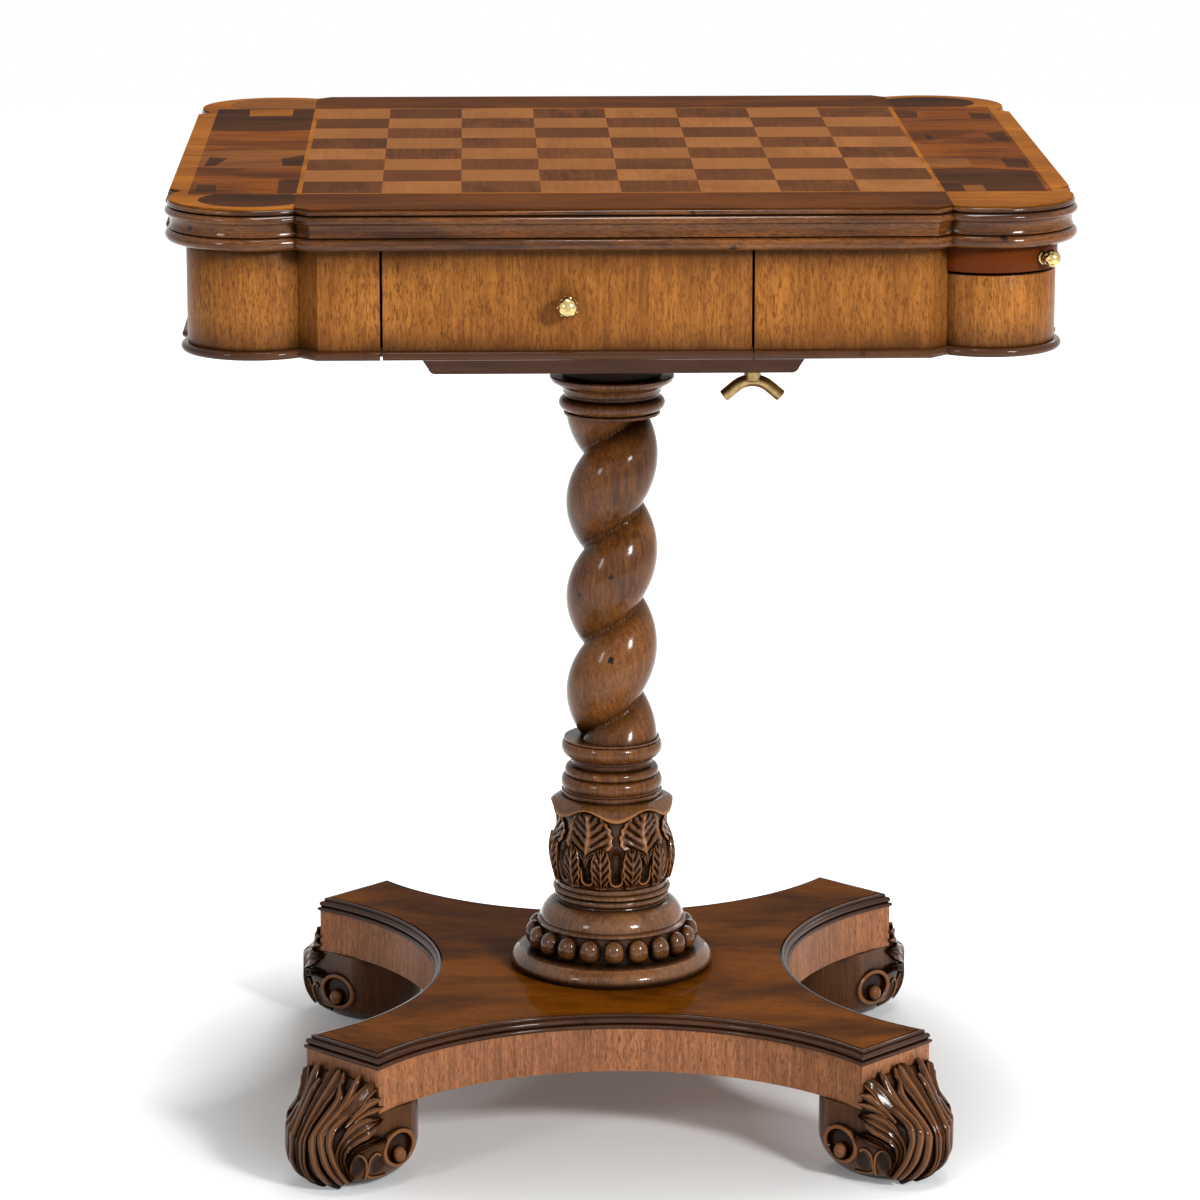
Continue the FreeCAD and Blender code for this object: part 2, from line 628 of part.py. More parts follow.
def build_case():
    right_edge = "(drawer_width / 2 - drawer_shift + drawer_gap)"
    left_edge = "(drawer_width / 2 + drawer_shift + drawer_gap)"
    for place_name, turned in (("front", False), ("back", True)):
        left, right = ("left", "right") if not turned else ("right", "left")
        front_panel("%s_panel_%s" % (place_name, right), right_edge, 1, turned)
        front_panel("%s_panel_%s" % (place_name, left), left_edge, -1, turned)
    side_panel("left_panel", -1)
    side_panel("right_panel", 1)

    under_tray = "(%s - tray_gap - %s)" % (TRAY_FOOT, CASE_FOOT)
    turret("front_right_turret", "turret_across", "-turret_along", -45, under_tray)
    turret("back_right_turret", "turret_across", "turret_along", 45, "frieze_height")
    turret("back_left_turret", "-turret_across", "turret_along", 135, under_tray)
    turret("front_left_turret", "-turret_across", "-turret_along", -135, "frieze_height")

    screws = []
    for x in ("bearer_screw_across", "(-bearer_screw_across)"):
        for y in ("bearer_screw_along", "(-bearer_screw_along)"):
            points = (
                ("0", "0"),
                ("screw_head_radius", "0"),
                ("screw_radius", "screw_head_radius - screw_radius"),
                ("screw_radius", "screw_length - screw_radius"),
                ("0", "screw_length"),
            )
            screws.append(turned_piece(COLUMN_TOP, points, x, y))
    screw_set = keep("bearer_screws", group(screws))

    bolt_hole = "(bolt_radius + bolt_hole_gap)"
    floor = slab("(-apron_thickness)", BEAD_FOOT, "bead_height")
    drill(floor, bolt_hole, ("0", "bead_height"), x="wing_offset")
    keep("bottom_board", cut(floor, screw_set))

    rounded = rounded_slab("bead_reach", BEAD_FOOT, "bead_height")
    front_gap = (negative(left_edge), right_edge)
    reach = "(case_half_depth + 2 * bead_reach)"
    inner_face = "(case_half_depth - apron_thickness)"
    layer = (BEAD_FOOT, CASE_FOOT)
    middle = slab("(-apron_thickness)", BEAD_FOOT, "bead_height")
    openings = [block(front_gap, (negative(reach), negative(inner_face)), layer, turned) for turned in (False, True)]
    keep("base_bead", cut(rounded, middle, *openings))

    rail_reach = "(case_half_width - apron_thickness - panel_gap)"
    half_rail = "(rail_thickness / 2)"
    rail = block((negative(rail_reach), rail_reach), (negative(half_rail), half_rail), (CASE_FOOT, CASE_TOP))
    insert_top = "(%s + insert_length)" % CASE_FOOT
    socket = rod("insert_radius", (CASE_FOOT, insert_top), "wing_offset")
    keep("centre_rail", cut(rail, socket))
    thread = rod("bolt_radius + bolt_running_gap", (CASE_FOOT, insert_top), "wing_offset")
    sleeve = rod("insert_radius", (CASE_FOOT, insert_top), "wing_offset")
    keep("wing_insert", cut(sleeve, thread))

    bearer = new_body(z=COLUMN_TOP)
    half_top = "(bearer_length / 2)"
    half_foot = "(bearer_length / 2 - bearer_slope)"
    slope_start = "(%s + bearer_slope * bearer_round / bearer_chamfer)" % half_foot
    points = (
        ("-(%s - bearer_round)" % half_foot, "0"),
        ("%s - bearer_round" % half_foot, "0", "1.5 * bearer_round"),
        (slope_start, "bearer_round"),
        (half_top, "bearer_chamfer"),
        (half_top, "bearer_height"),
        (negative(half_top), "bearer_height"),
        (negative(half_top), "bearer_chamfer"),
        (negative(slope_start), "bearer_round", "1.5 * bearer_round"),
    )
    pad(bearer, outline(bearer, "XZ_Plane", points), "bearer_depth", symmetric=True)
    drill(bearer, ROD_BORE, ("0", "bearer_height"))
    drill(bearer, "counterbore_radius", ("bearer_height - counterbore_depth", "bearer_height"))
    drill(bearer, bolt_hole, ("0", "bearer_height"), x="wing_offset")
    keep("bearer", cut(bearer, screw_set))


# ---------------------------------------------------------------- knobs

def knob(radius, reach, x, y, z, axis, turned):
    """A ball knob on a rosette, with a spigot that goes into the wood."""
    centre = "(%s - %s)" % (reach, radius)
    neck_top = "(%s - sqrt(%s^2 - knob_neck_radius^2))" % (centre, radius)
    points = (
        ("0", "-knob_spigot_length"),
        ("knob_spigot_radius", "-knob_spigot_length"),
        ("knob_spigot_radius", "0"),
        ("rosette_radius", "0"),
        ("rosette_radius", "rosette_height / 2"),
        ("knob_neck_radius", "rosette_height"),
        ("knob_neck_radius", neck_top, radius),
        ("0", reach),
    )
    return turned_piece(z, points, x, y, axis=axis, turned=turned)


# ---------------------------------------------------------------- drawers

def build_drawer(prefix, turned):
    width_half = "(drawer_width / 2)"
    middle = "(-drawer_shift)"
    inner_face = "(-case_half_depth + drawer_face_thickness)"
    face = new_body(x=middle, turned=turned)
    nose = "(-case_half_depth - bead_reach + bead_height / 2)"
    points = (
        (inner_face, CASE_FOOT),
        (inner_face, "%s - drawer_top_gap" % CASE_TOP),
        ("-case_half_depth", "%s - drawer_top_gap" % CASE_TOP),
        ("-case_half_depth", CASE_FOOT),
    )
    pad(face, outline(face, "YZ_Plane", points), "drawer_width", symmetric=True)
    bead = new_body(x=middle, turned=turned)
    points = (
        (inner_face, BEAD_FOOT),
        (inner_face, CASE_FOOT),
        (nose, CASE_FOOT, "0.51 * bead_height"),
        (nose, BEAD_FOOT),
    )
    pad(bead, outline(bead, "YZ_Plane", points), "drawer_width", symmetric=True)
    keep("%s_drawer_bead" % prefix, bead)
    level = "(%s - drawer_knob_drop)" % CASE_TOP
    handle = knob("drawer_knob_radius", "drawer_knob_reach", middle, "-case_half_depth", level,
                  FreeCAD.Vector(0, -1, 0), turned)
    keep("%s_drawer_knob" % prefix, handle)
    keep("%s_drawer_face" % prefix, cut(face, handle))

    outer = "(%s - drawer_inset)" % width_half
    inner = "(%s - drawer_board)" % outer
    side_foot = "(%s + runner_height + glide_gap)" % CASE_FOOT
    side_top = "(%s + drawer_side_height)" % side_foot
    end = "(%s + drawer_length)" % inner_face
    left = ("(%s - %s)" % (middle, outer), "(%s - %s)" % (middle, inner))
    right = ("(%s + %s)" % (middle, inner), "(%s + %s)" % (middle, outer))
    between = (left[1], right[0])
    boards = [block(x, (inner_face, end), (side_foot, side_top), turned) for x in (left, right)]
    keep("%s_drawer_sides" % prefix, group(boards))
    rear_face = "(%s - drawer_board)" % end
    keep("%s_drawer_rear" % prefix, block(between, (rear_face, end), (side_foot, side_top), turned))
    floor_foot = "(%s + drawer_floor_lift)" % side_foot
    floor = block(between, (inner_face, rear_face), (floor_foot, "(%s + drawer_floor)" % floor_foot), turned)
    keep("%s_drawer_bottom" % prefix, floor)

    ledges = []
    kickers = []
    span = ("(%s + runner_gap)" % inner_face, "(-rail_thickness / 2)")
    for side in (-1, 1):
        face_x = "(%s + %d * (%s + side_gap))" % (middle, side, outer)
        guide = (face_x, "(%s + %d * guide_width)" % (face_x, side))
        ledge = (guide[1], "(%s - %d * runner_width)" % (guide[1], side))
        guide = guide if side > 0 else guide[::-1]
        ledge = ledge[::-1] if side > 0 else ledge
        foot = block(ledge, span, (CASE_FOOT, "(%s + runner_height)" % CASE_FOOT), turned)
        upright = block(guide, span, (CASE_FOOT, "(%s + runner_height + guide_height)" % CASE_FOOT), turned)
        ledges.append(fuse([foot, upright]))
        kickers.append(block(ledge, span, ("(%s + kicker_gap)" % side_top, CASE_TOP), turned))
    return ledges, kickers


# ---------------------------------------------------------------- trays

def build_tray(prefix, turned):
    half_width = "(turret_radius - tray_side_gap)"
    lip = "(%s + tray_lip_gap)" % CORNER_STEP
    nose = "(turret_radius + tray_proud)"
    lip_half = "sqrt(%s^2 - %s^2)" % (nose, lip)
    tray = new_body("turret_across", "-turret_along", TRAY_FOOT, -45, turned)
    points = (
        ("-tray_tail", negative(half_width)),
        (lip, negative(half_width)),
        (lip, negative(lip_half), nose),
        (nose, "0", nose),
        (lip, lip_half),
        (lip, half_width),
        ("-tray_tail", half_width),
    )
    pad(tray, outline(tray, "XY_Plane", points), "tray_thickness")
    drill(tray, "tray_well_radius", ("tray_thickness - tray_well_depth", "tray_thickness"))
    pin = tray.newObject("PartDesign::AdditiveCylinder", "stop")
    bind(pin, "Radius", "stop_radius")
    bind(pin, "Height", "2 * stop_drop")
    place(pin, x="-stop_back", z="-stop_drop")

    outward = FreeCAD.Vector(1, -1, 0)
    front = "(%s * sqrt(0.5))" % nose
    handle = knob("tray_knob_radius", "tray_knob_reach", "(turret_across + %s)" % front,
                  "(-turret_along - %s)" % front, "(%s + tray_thickness / 2)" % TRAY_FOOT, outward, turned)
    keep("%s_tray_knob" % prefix, handle)
    keep("%s_tray" % prefix, cut(tray, handle))

    cradle = new_body("turret_across", "-turret_along", TRAY_FOOT, -45, turned)
    inside = "(%s + cradle_side_gap)" % half_width
    outside = "(%s + cradle_guide)" % inside
    top = "(tray_thickness + tray_top_gap)"
    deck = "(-glide_gap)"
    underside = "(-glide_gap - cradle_board)"
    points = (
        (negative(outside), underside),
        (outside, underside),
        (outside, top),
        (inside, top),
        (inside, deck),
        (negative(inside), deck),
        (negative(inside), top),
        (negative(outside), top),
    )
    start = "(-tray_tail - cradle_end)"
    pad(cradle, outline(cradle, "YZ_Plane", points, lift=start), "-turret_back - cradle_gap - %s" % start)
    slot = cradle.newObject("PartDesign::SubtractiveBox", "slot")
    slot_half = "(stop_radius + side_gap)"
    bind(slot, "Length", "tray_travel + 2 * %s" % slot_half)
    bind(slot, "Width", "2 * %s" % slot_half)
    bind(slot, "Height", "cradle_board")
    place(slot, x="-stop_back - %s" % slot_half, y=negative(slot_half), z=underside)
    return cradle


# ---------------------------------------------------------------- the wing bolt

def build_wing_bolt():
    """A bent rod for the fingers, with the shank of the bolt standing on its bend."""
    middle = "(%s - wing_drop)" % COLUMN_TOP
    body = new_body(x="wing_offset", z=middle)
    bend_out, bend_down = "(wing_bend * sin(wing_fall))", "(wing_bend * (1 - cos(wing_fall)))"
    tip_out = "(%s + wing_arm * cos(wing_fall))" % bend_out
    tip_down = "(%s + wing_arm * sin(wing_fall))" % bend_down
    points = (
        (negative(tip_out), negative(tip_down)),
        (negative(bend_out), negative(bend_down), "-wing_bend"),
        (bend_out, negative(bend_down)),
        (tip_out, negative(tip_down)),
    )
    spine = outline(body, "XZ_Plane", points, closed=False)
    section = body.newObject("Sketcher::SketchObject", "section")
    section.AttachmentSupport = [(spine, "Edge1")]
    section.MapMode = "NormalToEdge"
    section.addGeometry(Part.Circle(FreeCAD.Vector(0, 0, 0), Z_AXIS, number("wing_rod_radius")), False)
    section.addConstraint(Sketcher.Constraint("Coincident", 0, 3, -1, 1))
    index = section.addConstraint(Sketcher.Constraint("Radius", 0, number("wing_rod_radius")))
    bind(section, "Constraints[%d]" % index, "wing_rod_radius")
    wings = body.newObject("PartDesign::AdditivePipe", "wings")
    wings.Profile = section
    wings.Spine = spine
    collar = body.newObject("PartDesign::AdditiveCylinder", "collar")
    bind(collar, "Radius", "wing_boss_radius")
    bind(collar, "Height", "wing_drop - wing_boss_gap")
    shank = body.newObject("PartDesign::AdditiveCylinder", "shank")
    bind(shank, "Radius", "bolt_radius")
    bind(shank, "Height", "%s + insert_length - %s" % (CASE_FOOT, middle))
    keep("wing_bolt", body)


# ---------------------------------------------------------------- the column

def turned_profile(piece):
    """The named points of a turned piece, from the bore round and back to the bore."""
    points = [(ROD_BORE, "0")]
    for owner, part, radius, level, *arc in PROFILES:
        if owner == piece:
            name = "%s_%s" % (piece, part)
            points.append((name + "_radius", name + "_level") + ((name + "_arc",) if arc else ()))
    points.append((ROD_BORE, "%s_top_level" % piece))
    return points


def build_turned_pieces():
    keep("capital", turned_piece(TWIST_TOP, turned_profile("capital")))
    keep("turned_collar", turned_piece(COLLAR_FOOT, turned_profile("collar")))
    keep("leaf_vase", turned_piece(VASE_FOOT, turned_profile("vase")))


def build_twist():
    """A round shaft with one helical groove whose flanks are the sides of rounded lobes."""
    body = new_body(z=TWIST_FOOT)
    shaft = body.newObject("PartDesign::AdditiveCylinder", "shaft")
    bind(shaft, "Radius", "twist_crest")
    bind(shaft, "Height", TWIST_LENGTH)
    depth = "(twist_crest - twist_groove)"
    lobe = "((twist_pitch^2 / 4 + %s^2) / (2 * %s))" % (depth, depth)
    land_radius = "(sqrt(%s^2 - twist_land^2 / 4) - %s + twist_crest)" % (lobe, lobe)
    start = "(twist_phase - twist_pitch)"
    reach = "((twist_pitch - twist_land) / 2)"
    outside = "(twist_crest + twist_land)"
    points = (
        (land_radius, "%s - %s" % (start, reach), lobe),
        ("twist_groove", start, lobe),
        (land_radius, "%s + %s" % (start, reach)),
        (outside, "%s + %s" % (start, reach)),
        (outside, "%s - %s" % (start, reach)),
    )
    sketch = outline(body, "XZ_Plane", points)
    doc.recompute()
    groove = body.newObject("PartDesign::SubtractiveHelix", "groove")
    groove.Profile = sketch
    axis = [feature for feature in body.Origin.OriginFeatures if feature.Role == "Z_Axis"]
    groove.ReferenceAxis = (axis[0], "")
    groove.Mode = 0
    bind(groove, "Pitch", "twist_pitch")
    bind(groove, "Height", "%s + 2 * twist_pitch" % TWIST_LENGTH)
    groove.LeftHanded = False
    drill(body, ROD_BORE, ("0", TWIST_LENGTH))
    keep("twist_shaft", body)


def build_foot_of_column():
    body = turned_piece(PLATFORM_TOP, turned_profile("column_foot"))
    bead = body.newObject("PartDesign::AdditiveEllipsoid", "bead")
    bind(bead, "Radius1", "bead_half_height")
    bind(bead, "Radius2", "bead_half_depth")
    bind(bead, "Radius3", "bead_half_width")
    place(bead, x="bead_circle", z="bead_level")
    ring = body.newObject("PartDesign::PolarPattern", "beads")
    ring.Originals = [bead]
    axis = [feature for feature in body.Origin.OriginFeatures if feature.Role == "Z_Axis"]
    ring.Axis = (axis[0], [""])
    ring.Angle = 360
    bind(ring, "Occurrences", "bead_count")
    body.Tip = ring
    keep("beaded_foot", body)


def build_tie_rod():
    foot = "(platform_foot + counterbore_depth)"
    head = "(%s - counterbore_depth)" % BEAD_FOOT
    rod_foot = "(platform_foot + rod_recess)"
    rod_top = "(%s - rod_recess)" % BEAD_FOOT
    shaft = keep("tie_rod", rod("rod_radius", (rod_foot, rod_top)))
    washers = []
    nuts = []
    for washer_foot, nut_foot in (
        ("(%s - washer_height)" % foot, "(%s - washer_height - nut_height)" % foot),
        (head, "(%s + washer_height)" % head),
    ):
        disc = rod("washer_radius", (washer_foot, "(%s + washer_height)" % washer_foot))
        bore = rod(ROD_BORE, (washer_foot, "(%s + washer_height)" % washer_foot))
        washers.append(cut(disc, bore))
        hexagon = doc.addObject("Part::Prism", "hexagon")
        hexagon.Polygon = 6
        bind(hexagon, "Circumradius", "nut_radius")
        bind(hexagon, "Height", "nut_height")
        nuts.append(cut(place(hexagon, z=nut_foot), shaft))
    keep("tie_washers", group(washers))
    keep("tie_nuts", group(nuts))


# ---------------------------------------------------------------- the base

def platform_outline(offset):
    """Four arms with square ends and four concave sides, moved out by an offset."""
    corner = "((arm_reach + %s) * sqrt(2))" % offset
    radius = "(scoop_radius - %s)" % offset
    short = "((%s - scoop_distance + sqrt(2 * %s^2 - (scoop_distance - %s)^2)) / 2)" % (corner, radius, corner)
    long = "(%s - %s)" % (corner, short)
    scoop = negative(radius)
    return (
        (short, negative(long)),
        (long, negative(short), scoop),
        (long, short),
        (short, long, scoop),
        (negative(short), long),
        (negative(long), short, scoop),
        (negative(long), negative(short)),
        (negative(short), negative(long), scoop),
    )


def build_platform():
    dowels = []
    for across, along in ((1, -1), (1, 1), (-1, 1), (-1, -1)):
        inward = "((arm_reach - dowel_back) * sqrt(0.5))"
        x = "(%d * %s)" % (across, inward)
        y = "(%d * %s)" % (along, inward)
        z = ("(platform_foot - dowel_half_length)", "(platform_foot + dowel_half_length)")
        dowels.append(rod("dowel_radius", z, x, y))
    dowel_set = keep("foot_dowels", group(dowels))

    body = new_body(z="platform_foot")
    pad(body, outline(body, "XY_Plane", platform_outline("0")), "platform_thickness")
    drill(body, ROD_BORE, ("0", "platform_thickness"))
    drill(body, "counterbore_radius", ("0", "counterbore_depth"))
    keep("platform", cut(body, dowel_set))

    top = new_body(z="(platform_foot + platform_thickness)")
    edge = pad(top, outline(top, "XY_Plane", platform_outline("platform_overhang")), "platform_edge")
    level = number("platform_edge")
    round_edges(top, edge, "platform_round", lambda line: is_level(line) and abs(line.BoundBox.ZMin - level) < 1e-6)
    raised = outline(top, "XY_Plane", platform_outline("(-quirk_inset)"), lift="platform_edge")
    pad(top, raised, "platform_quirk")
    drill(top, ROD_BORE, ("0", "platform_edge + platform_quirk"))
    keep("platform_top", top)
    return dowel_set


def build_foot(name, spin, dowel_set):
    """A round scroll foot under the end of an arm, its leaves climbing the end face."""
    heading = (("cos(%d)" % spin), ("sin(%d)" % spin))
    x, y = ("((arm_reach - foot_middle) * %s)" % part for part in heading)
    bowl = new_body(x, y, spin=spin)
    half_length, half_width = "foot_half_length", "foot_half_width"
    sketch = bowl.newObject("Sketcher::SketchObject", "oval")
    plane = [feature for feature in bowl.Origin.OriginFeatures if feature.Role == "XY_Plane"]
    sketch.AttachmentSupport = [(plane[0], "")]
    sketch.MapMode = "FlatFace"
    oval = Part.Ellipse(FreeCAD.Vector(0, 0, 0), number(half_length), number(half_width))
    sketch.addGeometry(oval, False)
    sketch.exposeInternalGeometry(0)
    sketch.addConstraint(Sketcher.Constraint("Coincident", 0, 3, -1, 1))
    sketch.addConstraint(Sketcher.Constraint("Horizontal", 1))
    for line, formula in ((1, "2 * foot_half_length"), (2, "2 * foot_half_width")):
        measure = Sketcher.Constraint("Distance", line, 1, line, 2, number(formula))
        bind(sketch, "Constraints[%d]" % sketch.addConstraint(measure), formula)
    body = pad(bowl, sketch, "leaf_top")
    round_edges(bowl, body, "foot_rounding", lambda edge: is_level(edge) and edge.BoundBox.ZMin < 1e-6)

    end, nose = "foot_middle", "foot_half_length"
    side = new_body(x, y, spin=spin)
    points = (
        ("-2 * foot_half_length", "0"),
        ("2 * foot_half_length", "0"),
        ("2 * foot_half_length", "nose_top"),
        (nose, "nose_top", "nose_radius"),
        ("%s + leaf_hollow" % end, "leaf_shoulder", "-leaf_hollow_radius"),
        ("%s + leaf_thickness" % end, "leaf_top"),
        (end, "leaf_top"),
        (end, "platform_foot"),
        ("-2 * foot_half_length", "platform_foot"),
    )
    pad(side, outline(side, "XZ_Plane", points), "4 * foot_half_width", symmetric=True)
    front = new_body(x, y, spin=spin)
    points = (
        ("-2 * foot_half_width", "0"),
        ("2 * foot_half_width", "0"),
        ("2 * foot_half_width", "platform_foot"),
        ("leaf_half_foot", "platform_foot"),
        ("leaf_half_middle", "leaf_side_top"),
        ("leaf_half_top", "leaf_top"),
        ("-leaf_half_top", "leaf_top"),
        ("-leaf_half_middle", "leaf_side_top"),
        ("-leaf_half_foot", "platform_foot"),
        ("-2 * foot_half_width", "platform_foot"),
    )
    pad(front, outline(front, "YZ_Plane", points), "4 * foot_half_length", symmetric=True)
    carved = common(common(bowl, side), front)
    spirals = []
    for radius, swell in (("volute_radius", "volute_swell"), ("boss_radius", "boss_swell")):
        disc = new_body(x, y, spin=spin)
        half = "(foot_half_width + %s)" % swell
        cylinder = disc.newObject("PartDesign::AdditiveCylinder", "disc")
        bind(cylinder, "Radius", radius)
        bind(cylinder, "Height", "2 * %s" % half)
        place(cylinder, y=half, z="volute_level", axis=FreeCAD.Vector(0, -1, 0))
        spirals.append(disc)
    keep(name, cut(fuse([carved] + spirals), dowel_set))


# ---------------------------------------------------------------- assembly

build_top()
build_case()
front_ledges, front_kickers = build_drawer("front", False)
back_ledges, back_kickers = build_drawer("back", True)
keep("drawer_runners", group(front_ledges + back_ledges))
keep("drawer_kickers", group(front_kickers + back_kickers))
keep("tray_cradles", group([build_tray("front", False), build_tray("back", True)]))
build_wing_bolt()
build_turned_pieces()
build_twist()
build_foot_of_column()
build_tie_rod()
foot_dowels = build_platform()
build_foot("front_right_foot", -45, foot_dowels)
build_foot("back_right_foot", 45, foot_dowels)
build_foot("back_left_foot", 135, foot_dowels)
build_foot("front_left_foot", -135, foot_dowels)
doc.recompute()

faults = [thing.Label for thing in doc.Objects if "Invalid" in thing.State or "Error" in thing.State]
for name, thing in nodes.items():
    if thing.Shape.isNull() or not thing.Shape.isValid() or thing.Shape.Volume <= 0:
        faults.append(name)
if faults:
    raise RuntimeError("failed: " + ", ".join(faults))

os.makedirs("parts", exist_ok=True)
for name, thing in nodes.items():
    thing.Shape.exportStep("parts/%s.step" % name)
print(len(nodes), "sub-parts written")
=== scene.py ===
"""The looks of a pedestal chess table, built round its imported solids."""

import math

import bpy
from mathutils import Matrix, Vector


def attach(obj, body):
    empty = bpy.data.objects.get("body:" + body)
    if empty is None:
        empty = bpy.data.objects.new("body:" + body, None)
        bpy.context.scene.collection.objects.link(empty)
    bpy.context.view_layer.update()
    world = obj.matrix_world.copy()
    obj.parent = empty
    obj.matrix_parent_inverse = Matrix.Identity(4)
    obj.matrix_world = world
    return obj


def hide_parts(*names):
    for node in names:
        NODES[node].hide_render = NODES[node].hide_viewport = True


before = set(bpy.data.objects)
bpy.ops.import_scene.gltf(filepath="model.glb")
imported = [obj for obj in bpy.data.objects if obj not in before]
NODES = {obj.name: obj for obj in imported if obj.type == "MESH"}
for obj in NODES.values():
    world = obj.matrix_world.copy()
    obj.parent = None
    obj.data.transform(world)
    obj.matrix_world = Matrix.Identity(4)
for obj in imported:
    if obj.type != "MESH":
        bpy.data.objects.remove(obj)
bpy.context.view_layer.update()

MM = 0.001                    # profiles and outlines are written in millimetres
TAU = 2 * math.pi
HALF_TURN = Matrix.Rotation(math.pi, 4, "Z")

# sizes of the case, in millimetres
CASE_HALF = (312.0, 293.5)
TURRET_AT = (262.0, 243.0)
TURRET_RADIUS = 48.5
TURRET_BACK = 12.5
CORNER_RETURN = 46.0
CORNER_STEP = (CASE_HALF[1] - TURRET_AT[1] - CORNER_RETURN) * math.sqrt(0.5)
SIDE_RETURN = CORNER_RETURN + CASE_HALF[0] - TURRET_AT[0] - CASE_HALF[1] + TURRET_AT[1]
TOP, VENEER_FOOT, CASE_TOP, CASE_FOOT, BEAD_FOOT = 750.0, 748.8, 720.0, 647.0, 640.5
BEAD_OUT, BEAD_ARC = 2.2, 3.3
SQUARE = 57.15
BOARD_EDGE, PANEL_EDGE = 232.1, 309.5
DRAWER_MIDDLE, DRAWER_WIDTH = -39.95, 261.1
TRAY_TOP, TRAY_FOOT, TRAY_BED, TRAY_NOSE = 719.2, 700.5, 698.5, 49.7
# sizes of the column and the base
TWIST_TOP, TWIST_FOOT, COLLAR_FOOT, VASE_FOOT, PLATFORM_TOP = 544.5, 288.5, 243.0, 170.0, 105.0
TWIST_CREST, TWIST_GROOVE, TWIST_PITCH, TWIST_PHASE = 35.5, 21.0, 75.3, -38.75
ARM_REACH, SCOOP_DISTANCE, SCOOP_RADIUS = 293.45, 356.0, 217.0
PLATFORM_FOOT, PLATFORM_EDGE_FOOT = 60.0, 94.0
ROD_HOLE = 5.25               # the radius of the hole for the tie rod


# ---------------------------------------------------------------- shaping

def deselect():
    if bpy.context.mode != "OBJECT":
        bpy.ops.object.mode_set(mode="OBJECT")
    bpy.ops.object.select_all(action="DESELECT")


def take(piece):
    """Select one piece and nothing else."""
    deselect()
    piece.select_set(True)
    bpy.context.view_layer.objects.active = piece
    return piece


def edit(piece, *steps):
    """Run edit-mode steps on everything in the piece."""
    take(piece)
    bpy.ops.object.mode_set(mode="EDIT")
    bpy.ops.mesh.select_all(action="SELECT")
    for step in steps:
        step()
    bpy.ops.object.mode_set(mode="OBJECT")


def weld():
    bpy.ops.mesh.remove_doubles(threshold=1e-6)


def close_ends():
    bpy.ops.mesh.select_all(action="DESELECT")
    bpy.ops.mesh.select_non_manifold(extend=False, use_wire=False, use_multi_face=False, use_verts=False)
    bpy.ops.mesh.fill_holes(sides=0)
    bpy.ops.mesh.select_all(action="SELECT")


def face_out():
    bpy.ops.mesh.normals_make_consistent(inside=False)


def arc_points(start, end, radius, spacing):
    """Points from start towards end on an arc that bulges to the right, or left for a negative radius."""
    way = end - start
    hand = 1 if radius > 0 else -1
    half = way.length / 2
    rise = math.sqrt(max(radius * radius - half * half, 0))
    right = Vector((way.y, -way.x)).normalized() * hand
    centre = (start + end) / 2 - right * rise
    swing = 2 * math.asin(min(1.0, half / abs(radius)))
    count = max(3, math.ceil(abs(radius) * swing / spacing))
    part = swing / count * hand
    return [centre + Matrix.Rotation(part * step, 2) @ (start - centre) for step in range(count)]


def line_of(points, spacing=1.2, closed=False):
    """(u, v) points, with (u, v, radius) where an arc leads to the next, as a list of vectors."""
    result = []
    corners = [Vector(point[:2]) for point in points]
    for index, point in enumerate(points):
        following = corners[(index + 1) % len(corners)]
        if len(point) == 3 and (closed or index + 1 < len(points)):
            result.extend(arc_points(corners[index], following, point[2], spacing))
        else:
            result.append(corners[index])
    return result


def distances(points):
    """How far along a line of points each one is, in metres."""
    run = [0.0]
    for first, second in zip(points, points[1:]):
        run.append(run[-1] + (Vector(second) - Vector(first)).length * MM)
    return run


def skin(name, rows, closed=True, loop=False, tones=None):
    """A surface over rows of points, with a UV map in metres: u along a row, v from row to row.

    Tones are rows of numbers, one to a point: 1 paints highlight on a crest of the carving, 0 paints shade
    in a groove."""
    if loop:
        rows = rows + rows[:1]
    if closed:
        rows = [row + row[:1] for row in rows]
        tones = tones and [row + row[:1] for row in tones]
    columns = len(rows[0])
    bpy.ops.mesh.primitive_grid_add(x_subdivisions=columns - 1, y_subdivisions=len(rows) - 1, size=1)
    piece = bpy.context.object
    piece.name = name
    mesh = piece.data
    mesh.vertices.foreach_set("co", [value * MM for row in rows for point in row for value in point])
    along = distances(max(rows, key=lambda row: distances(row)[-1]))
    across = distances([row[0] for row in rows])
    uv = mesh.uv_layers.active.data
    for corner in mesh.loops:
        row, column = divmod(corner.vertex_index, columns)
        uv[corner.index].uv = (along[column], across[row])
    if tones:
        relief = mesh.attributes.new("relief", "FLOAT", "POINT")
        relief.data.foreach_set("value", [value for row in tones for value in row])
    steps = (weld, face_out) if loop and closed else (weld, close_ends, face_out)
    edit(piece, *steps)
    return piece


def turn(name, profile, centre=(0, 0), foot=0.0, *, columns, spacing=1.0, swell=None):
    """A turned piece from (radius, height) points; swell adds to a radius by angle and height."""
    rows = []
    for radius, height in line_of(profile, spacing):
        row = []
        for column in range(columns):
            angle = TAU * column / columns
            reach = radius + (swell(angle, height, radius) if swell else 0)
            spot = (centre[0] + reach * math.cos(angle), centre[1] + reach * math.sin(angle), foot + height)
            row.append(spot)
        rows.append(row)
    return skin(name, rows)


